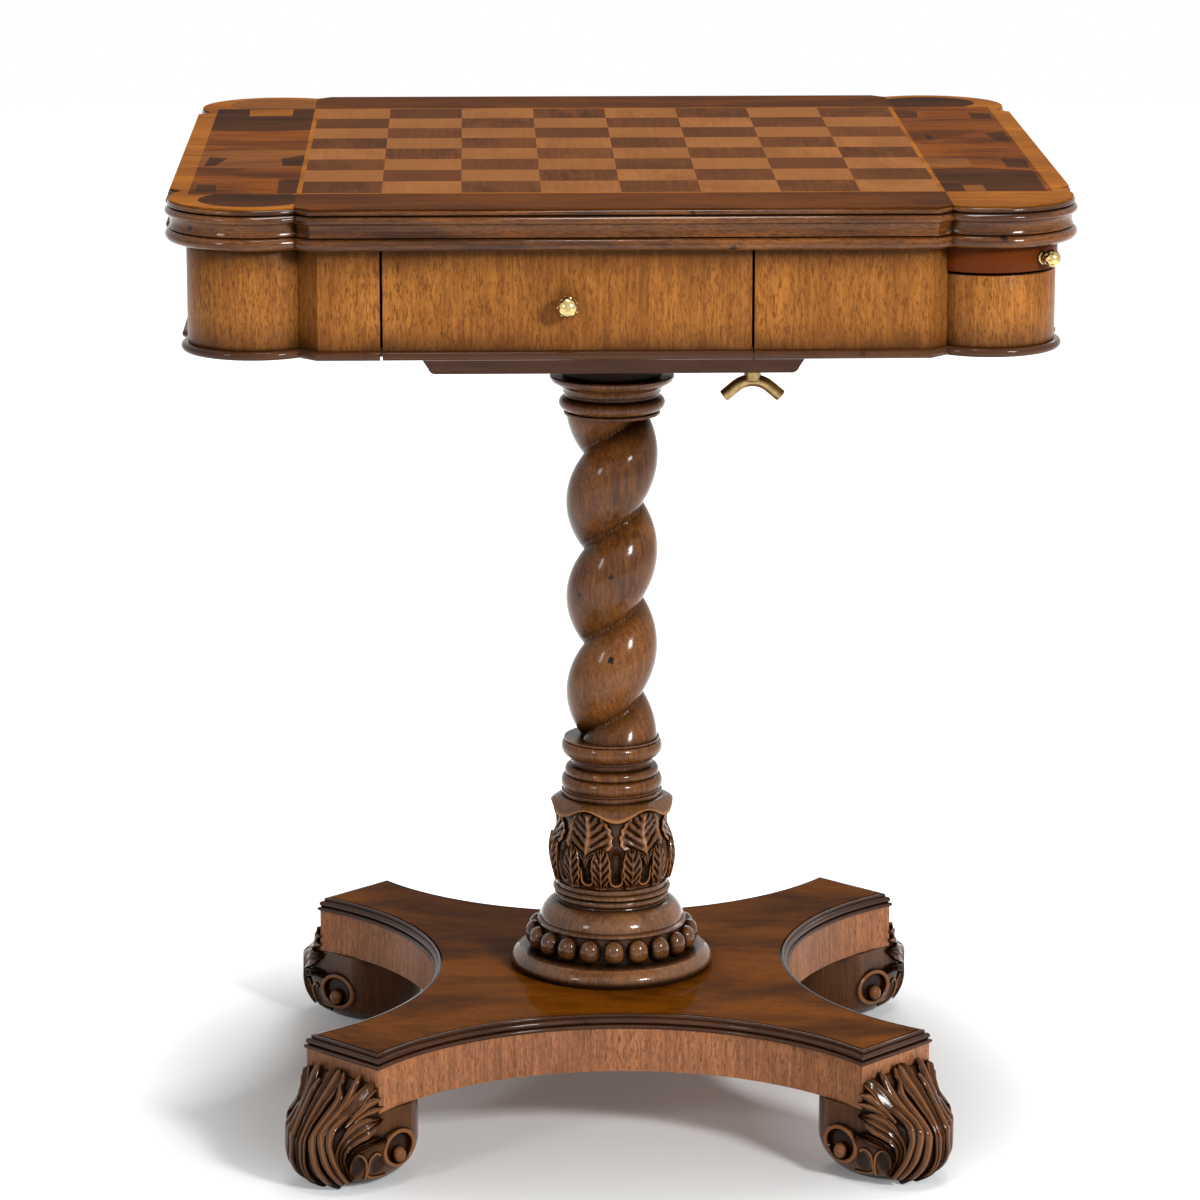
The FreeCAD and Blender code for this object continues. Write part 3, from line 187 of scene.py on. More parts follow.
def leaf(name, stem, halves, relief, cling, columns, sink=1.6):
    """A carved leaf along a stem of points, with its half width at each of them.

    Relief gives its height and its tone at (share along, side); the tone paints highlight and shade on the
    leaf, and its sunk edges take the tone of painted shade. Cling takes a point to the carved surface and
    gives the way out of it."""
    rows, tones = [], []
    last = len(stem) - 1
    for index, half in enumerate(halves):
        spot, out = cling(stem[index])
        ahead = cling(stem[min(index + 1, last)])[0] - cling(stem[max(index - 1, 0)])[0]
        across = ahead.cross(out).normalized()
        row, tone = [], []
        for column in range(columns + 1):
            side = 2 * column / columns - 1
            place, up = cling(spot + across * half * side)
            height, shine = relief(index / last, side)
            row.append(place + up * height)
            tone.append(shine)
        # sunk edges, in painted shade
        for side in (1, 0, -1):
            place, up = cling(spot + across * half * side * 0.9)
            row.append(place - up * sink)
            tone.append(0.0)
        rows.append(row)
        tones.append(tone)
    return skin(name, rows, tones=tones)


def paint_light_tones(piece, tone_at):
    """Give a piece tones of painted highlight and shade over its relief, from where each of its points lies
    in millimetres.
    """
    relief = piece.data.attributes.new("relief", "FLOAT", "POINT")
    relief.data.foreach_set("value", [tone_at(vertex.co / MM) for vertex in piece.data.vertices])
    return piece


def half_widths(pairs, steps):
    """The half width of a leaf at each step along it, eased between (share, half width) pairs."""
    widths = []
    for step in range(steps + 1):
        share = step / steps
        for first, second in zip(pairs, pairs[1:]):
            if first[0] <= share <= second[0]:
                part = (share - first[0]) / (second[0] - first[0])
                part = part * part * (3 - 2 * part)
                widths.append(first[1] + (second[1] - first[1]) * part)
                break
    return widths


def curve_through(points, count):
    """Count + 1 points on a smooth curve through the given ones."""
    points = [Vector(point) for point in points]
    padded = [2 * points[0] - points[1]] + points + [2 * points[-1] - points[-2]]
    result = []
    for step in range(count + 1):
        run = step / count * (len(points) - 1)
        index = min(int(run), len(points) - 2)
        share = run - index
        before, first, second, after = padded[index:index + 4]
        slope = (second - before) * share
        bend = (2 * before - 5 * first + 4 * second - after) * share ** 2
        twist = (3 * first - before - 3 * second + after) * share ** 3
        result.append(0.5 * (2 * first + slope + bend + twist))
    return result


def cord(name, path, radii, columns=10, tone=1.0):
    """A round cord along a path of points."""
    rows = []
    last = len(path) - 1
    for index, (place, radius) in enumerate(zip(path, radii)):
        ahead = (path[min(index + 1, last)] - path[max(index - 1, 0)]).normalized()
        side = ahead.orthogonal().normalized()
        if rows:
            side = (held - ahead * held.dot(ahead)).normalized()
        held = side
        up = ahead.cross(side)
        turns = [TAU * column / columns for column in range(columns)]
        rows.append([place + (side * math.cos(angle) + up * math.sin(angle)) * radius for angle in turns])
    return skin(name, rows, tones=[[tone] * columns for _ in rows])


def plate(name, outline, low, high, bevel=0.0, spacing=2.5, segments=2):
    """A plate with an outline of (u, v) points, from low to high, and its level edges bevelled."""
    points = line_of(outline, spacing, closed=True)
    bpy.ops.mesh.primitive_circle_add(vertices=len(points), fill_type="NGON")
    piece = bpy.context.object
    piece.name = name
    piece.data.vertices.foreach_set("co", [v * MM for point in points for v in (point[0], point[1], low)])

    def thicken():
        bpy.ops.mesh.extrude_region_move(TRANSFORM_OT_translate={"value": (0, 0, (high - low) * MM)})
        bpy.ops.mesh.select_all(action="SELECT")
        face_out()

    edit(piece, thicken)
    if bevel:
        bevel_level_edges(piece, bevel, segments)
    return piece


def bevel_level_edges(piece, width, segments=2):
    """Round the edges between level faces and upright ones."""
    take(piece)
    for polygon in piece.data.polygons:
        polygon.select = False
    for edge in piece.data.edges:
        first, second = (piece.data.vertices[index].co for index in edge.vertices)
        edge.select = abs(first.z - second.z) < 1e-7
    for vertex in piece.data.vertices:
        vertex.select = True
    bpy.context.tool_settings.mesh_select_mode = (False, True, False)
    bpy.ops.object.mode_set(mode="EDIT")
    bpy.ops.mesh.bevel(offset=width * MM, segments=segments, profile=0.5, affect="EDGES",
                       clamp_overlap=True)
    bpy.ops.object.mode_set(mode="OBJECT")
    bpy.context.tool_settings.mesh_select_mode = (True, False, False)


def lay(piece, matrix):
    """Move a finished shape to its place."""
    piece.data.transform(matrix)
    piece.data.update()
    return piece


def shift(x=0.0, y=0.0, z=0.0):
    return Matrix.Translation((x * MM, y * MM, z * MM))


def copy_of(piece, name, matrix):
    twin = piece.copy()
    twin.data = piece.data.copy()
    twin.name = name
    bpy.context.scene.collection.objects.link(twin)
    return lay(twin, matrix)


def join(pieces):
    deselect()
    for piece in pieces:
        piece.select_set(True)
    bpy.context.view_layer.objects.active = pieces[0]
    bpy.ops.object.join()
    return pieces[0]


def carve(piece, tool):
    """Cut a tool out of a piece and throw the tool away."""
    take(piece)
    modifier = piece.modifiers.new("cut", "BOOLEAN")
    modifier.object = tool
    modifier.operation = "DIFFERENCE"
    modifier.solver = "EXACT"
    bpy.ops.object.modifier_apply(modifier=modifier.name)
    bpy.data.objects.remove(tool)
    return piece


def finish(piece, body, slot, material, *replaced, smooth=35):
    """Give a piece its material and its place in the frame."""
    take(piece)
    bpy.ops.object.transform_apply(location=True, rotation=True, scale=True)
    bpy.ops.object.shade_smooth_by_angle(angle=math.radians(smooth))
    piece.data.materials.clear()
    piece.data.materials.append(material)
    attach(piece, body)
    if replaced:
        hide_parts(*replaced)
    return piece


def finish_pair(piece, twin_name, body, slot, material, node, smooth=35):
    """Finish a piece of the front, and its twin, half a turn round, at the back."""
    twin = copy_of(piece, twin_name, HALF_TURN)
    finish(piece, "front_" + body, slot, material, "front_" + node, smooth=smooth)
    finish(twin, "back_" + body, slot, material, "back_" + node, smooth=smooth)


def dress(material, *names):
    """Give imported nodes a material."""
    for name in names:
        NODES[name].data.materials.clear()
        NODES[name].data.materials.append(material)


# ---------------------------------------------------------------- materials

class Graph:
    """A node tree with short ways to add nodes and link them."""

    def __init__(self, tree):
        self.tree = tree

    def add(self, kind, **settings):
        node = self.tree.nodes.new("ShaderNode" + kind)
        for key, value in settings.items():
            setattr(node, key, value)
        return node

    def link(self, source, target):
        self.tree.links.new(source, target)

    def feed(self, socket, value):
        if isinstance(value, bpy.types.NodeSocket):
            self.link(value, socket)
        else:
            socket.default_value = value

    def maths(self, operation, first, second=0.0, clamp=False):
        node = self.add("Math", operation=operation, use_clamp=clamp)
        self.feed(node.inputs[0], first)
        self.feed(node.inputs[1], second)
        return node.outputs[0]

    def mix(self, share, first, second):
        node = self.add("Mix", data_type="RGBA", blend_type="MIX")
        self.feed(node.inputs[0], share)
        self.feed(node.inputs[6], first)
        self.feed(node.inputs[7], second)
        return node.outputs[2]

    def span(self, value, low, high, to_low=0.0, to_high=1.0):
        node = self.add("MapRange", interpolation_type="SMOOTHSTEP")
        for socket, number in zip(node.inputs[:5], (value, low, high, to_low, to_high)):
            self.feed(socket, number)
        return node.outputs[0]

    def mapped(self, vector, scale=(1, 1, 1), turn=(0, 0, 0)):
        node = self.add("Mapping")
        self.link(vector, node.inputs["Vector"])
        node.inputs["Rotation"].default_value = [math.radians(angle) for angle in turn]
        node.inputs["Scale"].default_value = scale
        return node.outputs[0]

    def noise(self, vector, scale, detail, roughness=0.55, distortion=0.0):
        node = self.add("TexNoise")
        self.link(vector, node.inputs["Vector"])
        settings = {"Scale": scale, "Detail": detail, "Roughness": roughness, "Distortion": distortion}
        for name, value in settings.items():
            node.inputs[name].default_value = value
        return node.outputs[0]


def new_group(name, inputs, outputs):
    """A shader node group; inputs are (name, kind, value) and outputs (name, kind)."""
    tree = bpy.data.node_groups.new(name, "ShaderNodeTree")
    for label, kind, value in inputs:
        socket = tree.interface.new_socket(label, in_out="INPUT", socket_type="NodeSocket" + kind)
        if value is not None:
            socket.default_value = value
    for label, kind in outputs:
        tree.interface.new_socket(label, in_out="OUTPUT", socket_type="NodeSocket" + kind)
    graph = Graph(tree)
    source = tree.nodes.new("NodeGroupInput")
    target = tree.nodes.new("NodeGroupOutput")
    return tree, graph, source.outputs, target.inputs


def wood_group():
    """Timber with its grain along Z: broad figure, fine streaks, wavy strokes, pores and dark flecks."""
    tree, g, given, out = new_group("timber", (
        ("Vector", "Vector", None),
        ("Pale", "Color", (0.6, 0.4, 0.2, 1)),
        ("Deep", "Color", (0.3, 0.15, 0.06, 1)),
        ("Mottle", "Float", 0.5),
        ("Streaks", "Float", 0.5),
        ("Flecks", "Float", 0.5),
        ("Ripple", "Float", 0.3),
    ), (("Color", "Color"), ("Grain", "Float")))
    place = given["Vector"]
    broad = g.noise(g.mapped(place, (1, 1, 0.4)), 16, 4, 0.6, 0.6)
    streak = g.noise(g.mapped(place, (1, 1, 0.05)), 330, 5, 0.62)
    pore = g.noise(g.mapped(place, (1, 1, 0.09)), 1100, 2, 0.5)
    fleck = g.noise(g.mapped(place, (1, 1, 0.16)), 420, 2, 0.5)
    figure = g.span(broad, 0.30, 0.70)
    lines = g.span(streak, 0.28, 0.72)
    mottle = g.maths("MULTIPLY", g.maths("SUBTRACT", figure, 0.5), given["Mottle"])
    streaks = g.maths("MULTIPLY", g.maths("SUBTRACT", lines, 0.5), given["Streaks"])
    share = g.maths("ADD", g.maths("ADD", mottle, streaks), 0.5, clamp=True)
    ripple = g.noise(g.mapped(place, (1, 1, 0.24)), 680, 4, 0.62, 0.7)
    strokes = g.maths("MULTIPLY", g.span(ripple, 0.46, 0.64), given["Ripple"], clamp=True)
    colour = g.mix(strokes, g.mix(share, given["Deep"], given["Pale"]), given["Deep"])
    dots = g.maths("MULTIPLY", g.span(pore, 0.60, 0.72), 0.45)
    spots = g.maths("MULTIPLY", g.span(fleck, 0.66, 0.74), 0.8)
    marks = g.maths("MULTIPLY", g.maths("MAXIMUM", dots, spots), given["Flecks"], clamp=True)
    dark = g.mix(0.75, given["Deep"], (0.01, 0.006, 0.004, 1))
    g.link(g.mix(marks, colour, dark), out["Color"])
    height = g.maths("SUBTRACT", g.maths("MULTIPLY", streak, 0.6), marks)
    g.link(g.maths("SUBTRACT", height, g.maths("MULTIPLY", strokes, 0.3)), out["Grain"])
    return tree


def painted_shade_group():
    """Painted shade from ambient occlusion: 1 in the hollows, 0 in the open."""
    inputs = (("Reach", "Float", 0.01), ("Depth", "Float", 1.0))
    tree, g, given, out = new_group("painted_shade", inputs, (("Mask", "Float"),))
    shade = g.add("AmbientOcclusion", samples=8)
    g.link(given["Reach"], shade.inputs["Distance"])
    shade_mask = g.maths("SUBTRACT", 1.0, shade.outputs["AO"], clamp=True)
    g.link(g.maths("MULTIPLY", shade_mask, given["Depth"], clamp=True), out["Mask"])
    return tree


def distress_group():
    """Small dark dents and worm marks, scattered."""
    inputs = (("Vector", "Vector", None), ("Scale", "Float", 60.0))
    tree, g, given, out = new_group("distress", inputs, (("Mask", "Float"),))
    cells = g.add("TexVoronoi", feature="F1")
    g.link(given["Vector"], cells.inputs["Vector"])
    g.link(given["Scale"], cells.inputs["Scale"])
    wobble = g.noise(given["Vector"], 700, 2)
    shake = g.maths("MULTIPLY", g.maths("SUBTRACT", wobble, 0.5), 0.22)
    near = g.maths("ADD", cells.outputs["Distance"], shake)
    chosen = g.add("SeparateColor")
    g.link(cells.outputs["Color"], chosen.inputs[0])
    size = g.span(chosen.outputs[0], 0.72, 1.0, 0.0, 0.13)
    g.link(g.maths("LESS_THAN", near, size), out["Mask"])
    return tree


TIMBER = wood_group()
PAINTED_SHADE = painted_shade_group()
DISTRESS = distress_group()
# shares of the pale tone for painted shade and painted highlight, and of the deep tone for the darker ends
PAINTED_SHADE_TONE, PAINTED_HIGHLIGHT_TONE, END_BAND_TONE = 0.08, 1.9, 0.4      # shares of the pale or the deep tone
FLAT_GRAIN = (0, 90, 0)                                    # turns that lay the grain along X
POLISH, VENEER_COAT = (0.12, 0.18), 0.05                   # the roughness and the coat of the veneers
BUMP_STRENGTH, BUMP_HEIGHT = 0.15, 0.0004


def grouped(graph, tree, **values):
    node = graph.add("Group", node_tree=tree)
    for name, value in values.items():
        graph.feed(node.inputs[name], value)
    return node.outputs


def new_material(name, **settings):
    """A material with its shader, and the settings that are the same all over it."""
    material = bpy.data.materials.new(name)
    material.use_nodes = True
    tree = material.node_tree
    shader = tree.nodes["Principled BSDF"]
    for key, value in settings.items():
        shader.inputs[key.replace("_", " ")].default_value = value
    return material, Graph(tree), shader


def rgb(red, green, blue):
    return (red, green, blue, 1.0)


def timber(name, pale, deep, mottle=0.6, streaks=0.6, flecks=0.7, turn=(0, 0, 0), rough=(0.32, 0.42),
           shine=0.08, coat=0.06, painted_shade=0.0, reach=0.012, marks=0.0, mark_scale=45.0, by_uv=False,
           carved=0.0, ripple=0.35, darker_ends=None):
    """A finished timber, from its pale and deep tones, its two roughnesses and the strength of its marks.

    Turn lays the grain and marks are dents. The strength of painted shade darkens the hollows within reach
    and takes the coat out of them; carved paints highlight on the crests of the relief and shade in its
    grooves.
    The last argument gives two levels that the colour darkens towards, and over what height, in metres."""
    material, g, shader = new_material(name, Coat_Weight=coat, Coat_Roughness=0.10,
                                       Specular_IOR_Level=shine)
    coordinates = g.add("TexCoord")
    place = coordinates.outputs["UV" if by_uv else "Object"]
    wood = grouped(g, TIMBER, Vector=g.mapped(place, turn=turn), Pale=rgb(*pale), Deep=rgb(*deep),
                   Mottle=mottle, Streaks=streaks, Flecks=flecks, Ripple=ripple)
    colour = wood["Color"]
    height = wood["Grain"]
    # the colour of painted shade, for the hollows and for the grooves of the carving
    dark = rgb(*(value * PAINTED_SHADE_TONE for value in pale))
    if carved:
        # the relief tones paint shade in the grooves of the carving and highlight on its crests
        relief = g.add("Attribute", attribute_name="relief").outputs["Fac"]
        painted_highlight = rgb(*(min(1.0, value * PAINTED_HIGHLIGHT_TONE) for value in pale))
        colour = g.mix(g.maths("MULTIPLY", g.span(relief, 0.0, 0.42, 1.0, 0.0), 0.9), colour, dark)
        colour = g.mix(g.maths("MULTIPLY", g.span(relief, 0.55, 1.0), carved), colour, painted_highlight)
    # darker towards two levels, the foot and the top of the case, in clouds
    if darker_ends:
        low, high, width = darker_ends
        level = g.add("SeparateXYZ")
        g.link(coordinates.outputs["Object"], level.inputs[0])
        edge = g.maths("MAXIMUM", g.span(level.outputs[2], low, low + width, 1.0, 0.0),
                       g.span(level.outputs[2], high - width, high))
        cloud = g.span(g.noise(coordinates.outputs["Object"], 30, 4), 0.3, 0.7, 0.35, 0.85)
        end_band_colour = rgb(*(value * END_BAND_TONE for value in deep))
        colour = g.mix(g.maths("MULTIPLY", edge, cloud), colour, end_band_colour)
    # painted shade: the hollows within reach darken and lose their coat
    if painted_shade:
        shade_mask = grouped(g, PAINTED_SHADE, Reach=reach, Depth=painted_shade)["Mask"]
        colour = g.mix(shade_mask, colour, dark)
        g.link(g.maths("MULTIPLY", g.maths("SUBTRACT", 1.0, shade_mask), coat), shader.inputs["Coat Weight"])
    if marks:
        dents = g.maths("MULTIPLY", grouped(g, DISTRESS, Vector=place, Scale=mark_scale)["Mask"], marks)
        colour = g.mix(dents, colour, rgb(0.008, 0.005, 0.004))
        height = g.maths("SUBTRACT", height, g.maths("MULTIPLY", dents, 3.0))
    g.link(colour, shader.inputs["Base Color"])
    g.link(g.span(wood["Grain"], -0.6, 0.6, rough[1], rough[0]), shader.inputs["Roughness"])
    bump = g.add("Bump")
    bump.inputs["Strength"].default_value = BUMP_STRENGTH
    bump.inputs["Distance"].default_value = BUMP_HEIGHT
    g.link(height, bump.inputs["Height"])
    g.link(bump.outputs[0], shader.inputs["Normal"])
    return material


def veneer(name, pale, deep, mottle, flecks=0.7):
    """A polished veneer with its grain along X."""
    return timber(name, pale, deep, mottle=mottle, flecks=flecks, turn=FLAT_GRAIN, rough=POLISH, shine=0.0,
                  coat=VENEER_COAT)


def metal(name, colour, dark, rough, tarnish_and_shade=0.6):
    """Brass or steel, darkened by random tarnish, and by painted shade in its hollows."""
    material, g, shader = new_material(name, Metallic=1.0)
    place = g.add("TexCoord").outputs["Object"]
    cloud = g.span(g.noise(place, 180, 4), 0.35, 0.7)
    # painted shade in the hollows, mixed below with random tarnish
    shade_mask = grouped(g, PAINTED_SHADE, Reach=0.003, Depth=3.2)["Mask"]
    dull = g.maths("MAXIMUM", shade_mask, g.maths("MULTIPLY", cloud, 0.35))
    darkened = g.maths("MULTIPLY", dull, tarnish_and_shade, clamp=True)
    g.link(g.mix(darkened, rgb(*colour), rgb(*dark)), shader.inputs["Base Color"])
    g.link(g.span(darkened, 0.0, 1.0, rough, rough + 0.3), shader.inputs["Roughness"])
    return material


CASE_WOOD = timber("case_walnut", (0.57, 0.215, 0.042), (0.19, 0.060, 0.011), mottle=0.5, streaks=0.5,
                   ripple=0.9, painted_shade=1.3, reach=0.035, darker_ends=(0.645, 0.722, 0.026))
MOULDING_WOOD = timber("moulding_walnut", (0.25, 0.084, 0.018), (0.050, 0.016, 0.005), mottle=0.9,
                       ripple=0.6, rough=(0.12, 0.20), shine=0.04, coat=0.42, painted_shade=2.8, reach=0.006,
                       marks=0.9, mark_scale=38, by_uv=True, turn=FLAT_GRAIN)
BEAD_WOOD = timber("bead_walnut", (0.13, 0.048, 0.016), (0.05, 0.018, 0.008), mottle=0.7,
                   rough=(0.14, 0.22), shine=0.04, coat=0.26, painted_shade=0.9, reach=0.006, marks=0.5,
                   mark_scale=38, by_uv=True, turn=FLAT_GRAIN)
TRAY_WOOD = timber("tray_walnut", (0.165, 0.036, 0.004), (0.105, 0.022, 0.003), mottle=0.5, streaks=0.3,
                   flecks=0.3, rough=(0.25, 0.32), shine=0.02, coat=0.06, painted_shade=0.4, turn=(0, 90, 45))
TWIST_WOOD = timber("turned_walnut", (0.29, 0.105, 0.025), (0.080, 0.027, 0.008), mottle=0.9, flecks=0.6,
                    rough=(0.18, 0.28), shine=0.06, coat=0.32, ripple=0.6, painted_shade=2.2, reach=0.022,
                    marks=1.0, mark_scale=42)
CARVED_WOOD = timber("carved_walnut", (0.26, 0.104, 0.033), (0.095, 0.034, 0.011), mottle=0.7, flecks=0.5,
                     rough=(0.18, 0.28), shine=0.06, coat=0.40, painted_shade=2.6, reach=0.007, carved=0.75)
SCROLL_WOOD = timber("scroll_walnut", (0.165, 0.060, 0.014), (0.064, 0.020, 0.005), mottle=0.7, flecks=0.5,
                     rough=(0.16, 0.26), shine=0.05, coat=0.36, painted_shade=2.8, reach=0.008, carved=0.70)
DOME_WOOD = timber("dome_walnut", (0.34, 0.150, 0.060), (0.120, 0.050, 0.021), mottle=0.8, flecks=0.5,
                   rough=(0.20, 0.28), shine=0.06, coat=0.50, painted_shade=2.6, reach=0.012, marks=0.8,
                   mark_scale=42)
PLATFORM_WOOD = timber("platform_walnut", (0.58, 0.235, 0.100), (0.22, 0.088, 0.042), mottle=0.5,
                       streaks=0.6, flecks=0.9, ripple=0.9, rough=(0.36, 0.46), painted_shade=0.5)
PLATFORM_TOP_WOOD = timber("platform_top_walnut", (0.31, 0.090, 0.004), (0.085, 0.024, 0.001), mottle=1.0,
                           streaks=0.25, flecks=0.35, rough=(0.34, 0.44), shine=0.0, coat=0.08, painted_shade=0.9,
                           reach=0.03, turn=(0, 90, 20))
EDGE_WOOD = timber("platform_edge_walnut", (0.115, 0.044, 0.018), (0.040, 0.015, 0.007), rough=(0.14, 0.22),
                   shine=0.04, coat=0.34, painted_shade=1.6, reach=0.006, marks=0.6, by_uv=True, turn=FLAT_GRAIN)
BEAD_RING_WOOD = timber("bead_ring_walnut", (0.22, 0.088, 0.026), (0.085, 0.031, 0.011), mottle=0.9,
                        flecks=0.5, rough=(0.16, 0.24), shine=0.06, coat=0.55, painted_shade=2.4, reach=0.008)
BEARER_WOOD = timber("bearer_walnut", (0.18, 0.088, 0.060), (0.095, 0.046, 0.032), turn=FLAT_GRAIN,
                     rough=(0.35, 0.45))
INNER_WOOD = timber("inner_oak", (0.46, 0.28, 0.13), (0.33, 0.18, 0.075), turn=(90, 0, 0), rough=(0.5, 0.6),
                    shine=0.1)
DARK_STRIP = veneer("walnut_strip", (0.125, 0.034, 0.003), (0.055, 0.014, 0.0015), 0.9)
DARK_INLAY = veneer("dark_inlay", (0.078, 0.022, 0.003), (0.030, 0.009, 0.0015), 1.0)
WARM_INLAY = veneer("warm_inlay", (0.24, 0.080, 0.016), (0.12, 0.037, 0.007), 0.8)
LIGHT_BAND = veneer("light_banding", (0.38, 0.122, 0.011), (0.18, 0.054, 0.005), 0.8)
BURR = veneer("burr_walnut", (0.225, 0.058, 0.004), (0.066, 0.016, 0.0015), 1.1, flecks=0.5)
BRASS = metal("polished_brass", (0.70, 0.52, 0.22), (0.05, 0.028, 0.012), rough=0.14, tarnish_and_shade=1.0)
OLD_BRASS = metal("antique_brass", (0.36, 0.24, 0.10), (0.03, 0.02, 0.012), rough=0.30, tarnish_and_shade=1.0)
STEEL = metal("bright_steel", (0.55, 0.55, 0.56), (0.20, 0.19, 0.18), rough=0.35)


def squares(name, pale, deep, other):
    """Board squares, each with its own tone and its grain shifted."""
    material, g, shader = new_material(name, Specular_IOR_Level=0.0, Coat_Weight=VENEER_COAT,
                                       Coat_Roughness=0.1)
    place = g.add("TexCoord").outputs["Object"]
    cell = g.add("VectorMath", operation="FLOOR")
    pitch = 1 / (SQUARE * MM)
    g.link(g.mapped(place, (pitch, pitch, 0)), cell.inputs[0])
    chance = g.add("TexWhiteNoise", noise_dimensions="3D")
    g.link(cell.outputs[0], chance.inputs["Vector"])
    apart = g.add("VectorMath", operation="SCALE")
    g.link(chance.outputs["Color"], apart.inputs[0])
    apart.inputs["Scale"].default_value = 0.6
    moved = g.add("VectorMath", operation="ADD")
    g.link(place, moved.inputs[0])
    g.link(apart.outputs[0], moved.inputs[1])
    wood = grouped(g, TIMBER, Vector=g.mapped(moved.outputs[0], turn=(90, 0, 0)), Pale=rgb(*pale),
                   Deep=rgb(*deep), Mottle=0.9, Streaks=0.5, Flecks=0.4)
    tone = g.span(chance.outputs["Value"], 0.0, 1.0, 0.0, 0.65)
    g.link(g.mix(tone, wood["Color"], rgb(*other)), shader.inputs["Base Color"])
    g.link(g.span(wood["Grain"], -0.6, 0.6, POLISH[1], POLISH[0]), shader.inputs["Roughness"])
    return material


DARK_SQUARES = squares("dark_squares", (0.150, 0.046, 0.009), (0.063, 0.019, 0.004), (0.09, 0.026, 0.006))
LIGHT_SQUARES = squares("light_squares", (0.30, 0.110, 0.028), (0.20, 0.070, 0.017), (0.24, 0.088, 0.022))


# ---------------------------------------------------------------- the case

def quarter_outline(offset):
    """The corner of the case in the +X +Y quarter, from its straight side along X round the turret."""
    steps = 26
    radius = TURRET_RADIUS + offset
    swing = math.acos((CORNER_STEP + offset) / radius)
    spread = offset * (math.sqrt(2) - 1)
    points = [(TURRET_AT[0] - CORNER_RETURN + spread, CASE_HALF[1] + offset)]
    for step in range(steps + 1):
        angle = math.pi / 4 + swing - 2 * swing * step / steps
        points.append((TURRET_AT[0] + radius * math.cos(angle), TURRET_AT[1] + radius * math.sin(angle)))
    points.append((CASE_HALF[0] + offset, TURRET_AT[1] - SIDE_RETURN + spread))
    return points


def corner_outline(offset, across, along):
    """The same corner in another quarter, always anticlockwise."""
    points = [(across * x, along * y) for x, y in quarter_outline(offset)]
    return points[::-1] if across * along > 0 else points


def case_outline(offset):
    points = []
    for across, along in ((1, -1), (1, 1), (-1, 1), (-1, -1)):
        points.extend(corner_outline(offset, across, along))
    return points


def build_moulding():
    profile = (
        (-6.5, CASE_TOP), (11.3, CASE_TOP, 4.6), (11.3, 729.0), (12.2, 729.6, -9.0), (12.2, 738.0),
        (12.5, 738.6, 2.9), (14.75, 742.6, 8.0), (12.7, 744.5), (12.0, 744.7, 2.2), (12.0, 748.6),
        (11.6, VENEER_FOOT), (-6.5, VENEER_FOOT),
    )
    rows = [[(x, y, level) for x, y in case_outline(offset)] for offset, level in line_of(profile, 0.7)]
    piece = skin("top_moulding", rows, loop=True)
    finish(piece, "table", "dark_moulding", MOULDING_WOOD, "edge_moulding", smooth=40)


def build_turrets():
    for name, across, along, top in (
        ("front_right", 1, -1, TRAY_BED), ("front_left", -1, -1, CASE_TOP),
        ("back_left", -1, 1, TRAY_BED), ("back_right", 1, 1, CASE_TOP),
    ):
        centre = Vector((across * TURRET_AT[0], along * TURRET_AT[1], (CASE_FOOT + top) / 2)) * MM
        bpy.ops.mesh.primitive_cylinder_add(vertices=160, radius=TURRET_RADIUS * MM,
                                            depth=(top - CASE_FOOT) * MM, location=centre)
        piece = bpy.context.object
        piece.name = name + "_turret_block"
        take(piece)
        bpy.ops.object.transform_apply(location=True)
        outward = Vector((across, along, 0)).normalized()

        def cut_back():
            spot = centre - outward * TURRET_BACK * MM
            bpy.ops.mesh.bisect(plane_co=spot, plane_no=outward, use_fill=True, clear_inner=True)

        edit(piece, cut_back)
        bevel_level_edges(piece, 0.6)
        finish(piece, "table", "case_walnut", CASE_WOOD, name + "_turret")


def build_base_bead():
    gap_right, gap_left, back = 92.4, 172.3, -14.0
    profile = ((back, BEAD_FOOT), (BEAD_OUT, BEAD_FOOT, BEAD_ARC), (BEAD_OUT, CASE_FOOT), (back, CASE_FOOT))
    rows = []
    for offset, level in line_of(profile, 0.6):
        row = [(gap_right, -CASE_HALF[1] - offset)] + corner_outline(offset, 1, -1)
        row += corner_outline(offset, 1, 1) + [(gap_left, CASE_HALF[1] + offset)]
        rows.append([(x, y, level) for x, y in row])
    right = skin("bead_right", rows, closed=False, loop=True)
    left = copy_of(right, "bead_left", HALF_TURN)
    for piece in (right, left):
        finish(piece, "table", "dark_moulding", BEAD_WOOD, "base_bead", smooth=40)


def build_drawers():
    rear, face, bead = -280.0, -293.5, -295.25
    upright = Matrix(((0, 0, 1, 0), (1, 0, 0, 0), (0, 1, 0, 0), (0, 0, 0, 1)))
    for name, node, slot, wood, points, bevel in (
        ("drawer_front", "drawer_face", "case_walnut", CASE_WOOD,
         ((rear, CASE_FOOT), (face, CASE_FOOT), (face, 718.2), (-292.9, 718.8), (rear, 718.8)), 0.6),
        ("drawer_front_bead", "drawer_bead", "dark_moulding", BEAD_WOOD,
         ((rear, BEAD_FOOT), (bead, BEAD_FOOT, -BEAD_ARC), (bead, CASE_FOOT), (rear, CASE_FOOT)), 0.0),
    ):
        piece = plate(name, points, DRAWER_MIDDLE - DRAWER_WIDTH / 2, DRAWER_MIDDLE + DRAWER_WIDTH / 2,
                      bevel=bevel, spacing=0.6)
        lay(piece, upright)
        finish_pair(piece, name + "_back", "drawer", slot, wood, node)


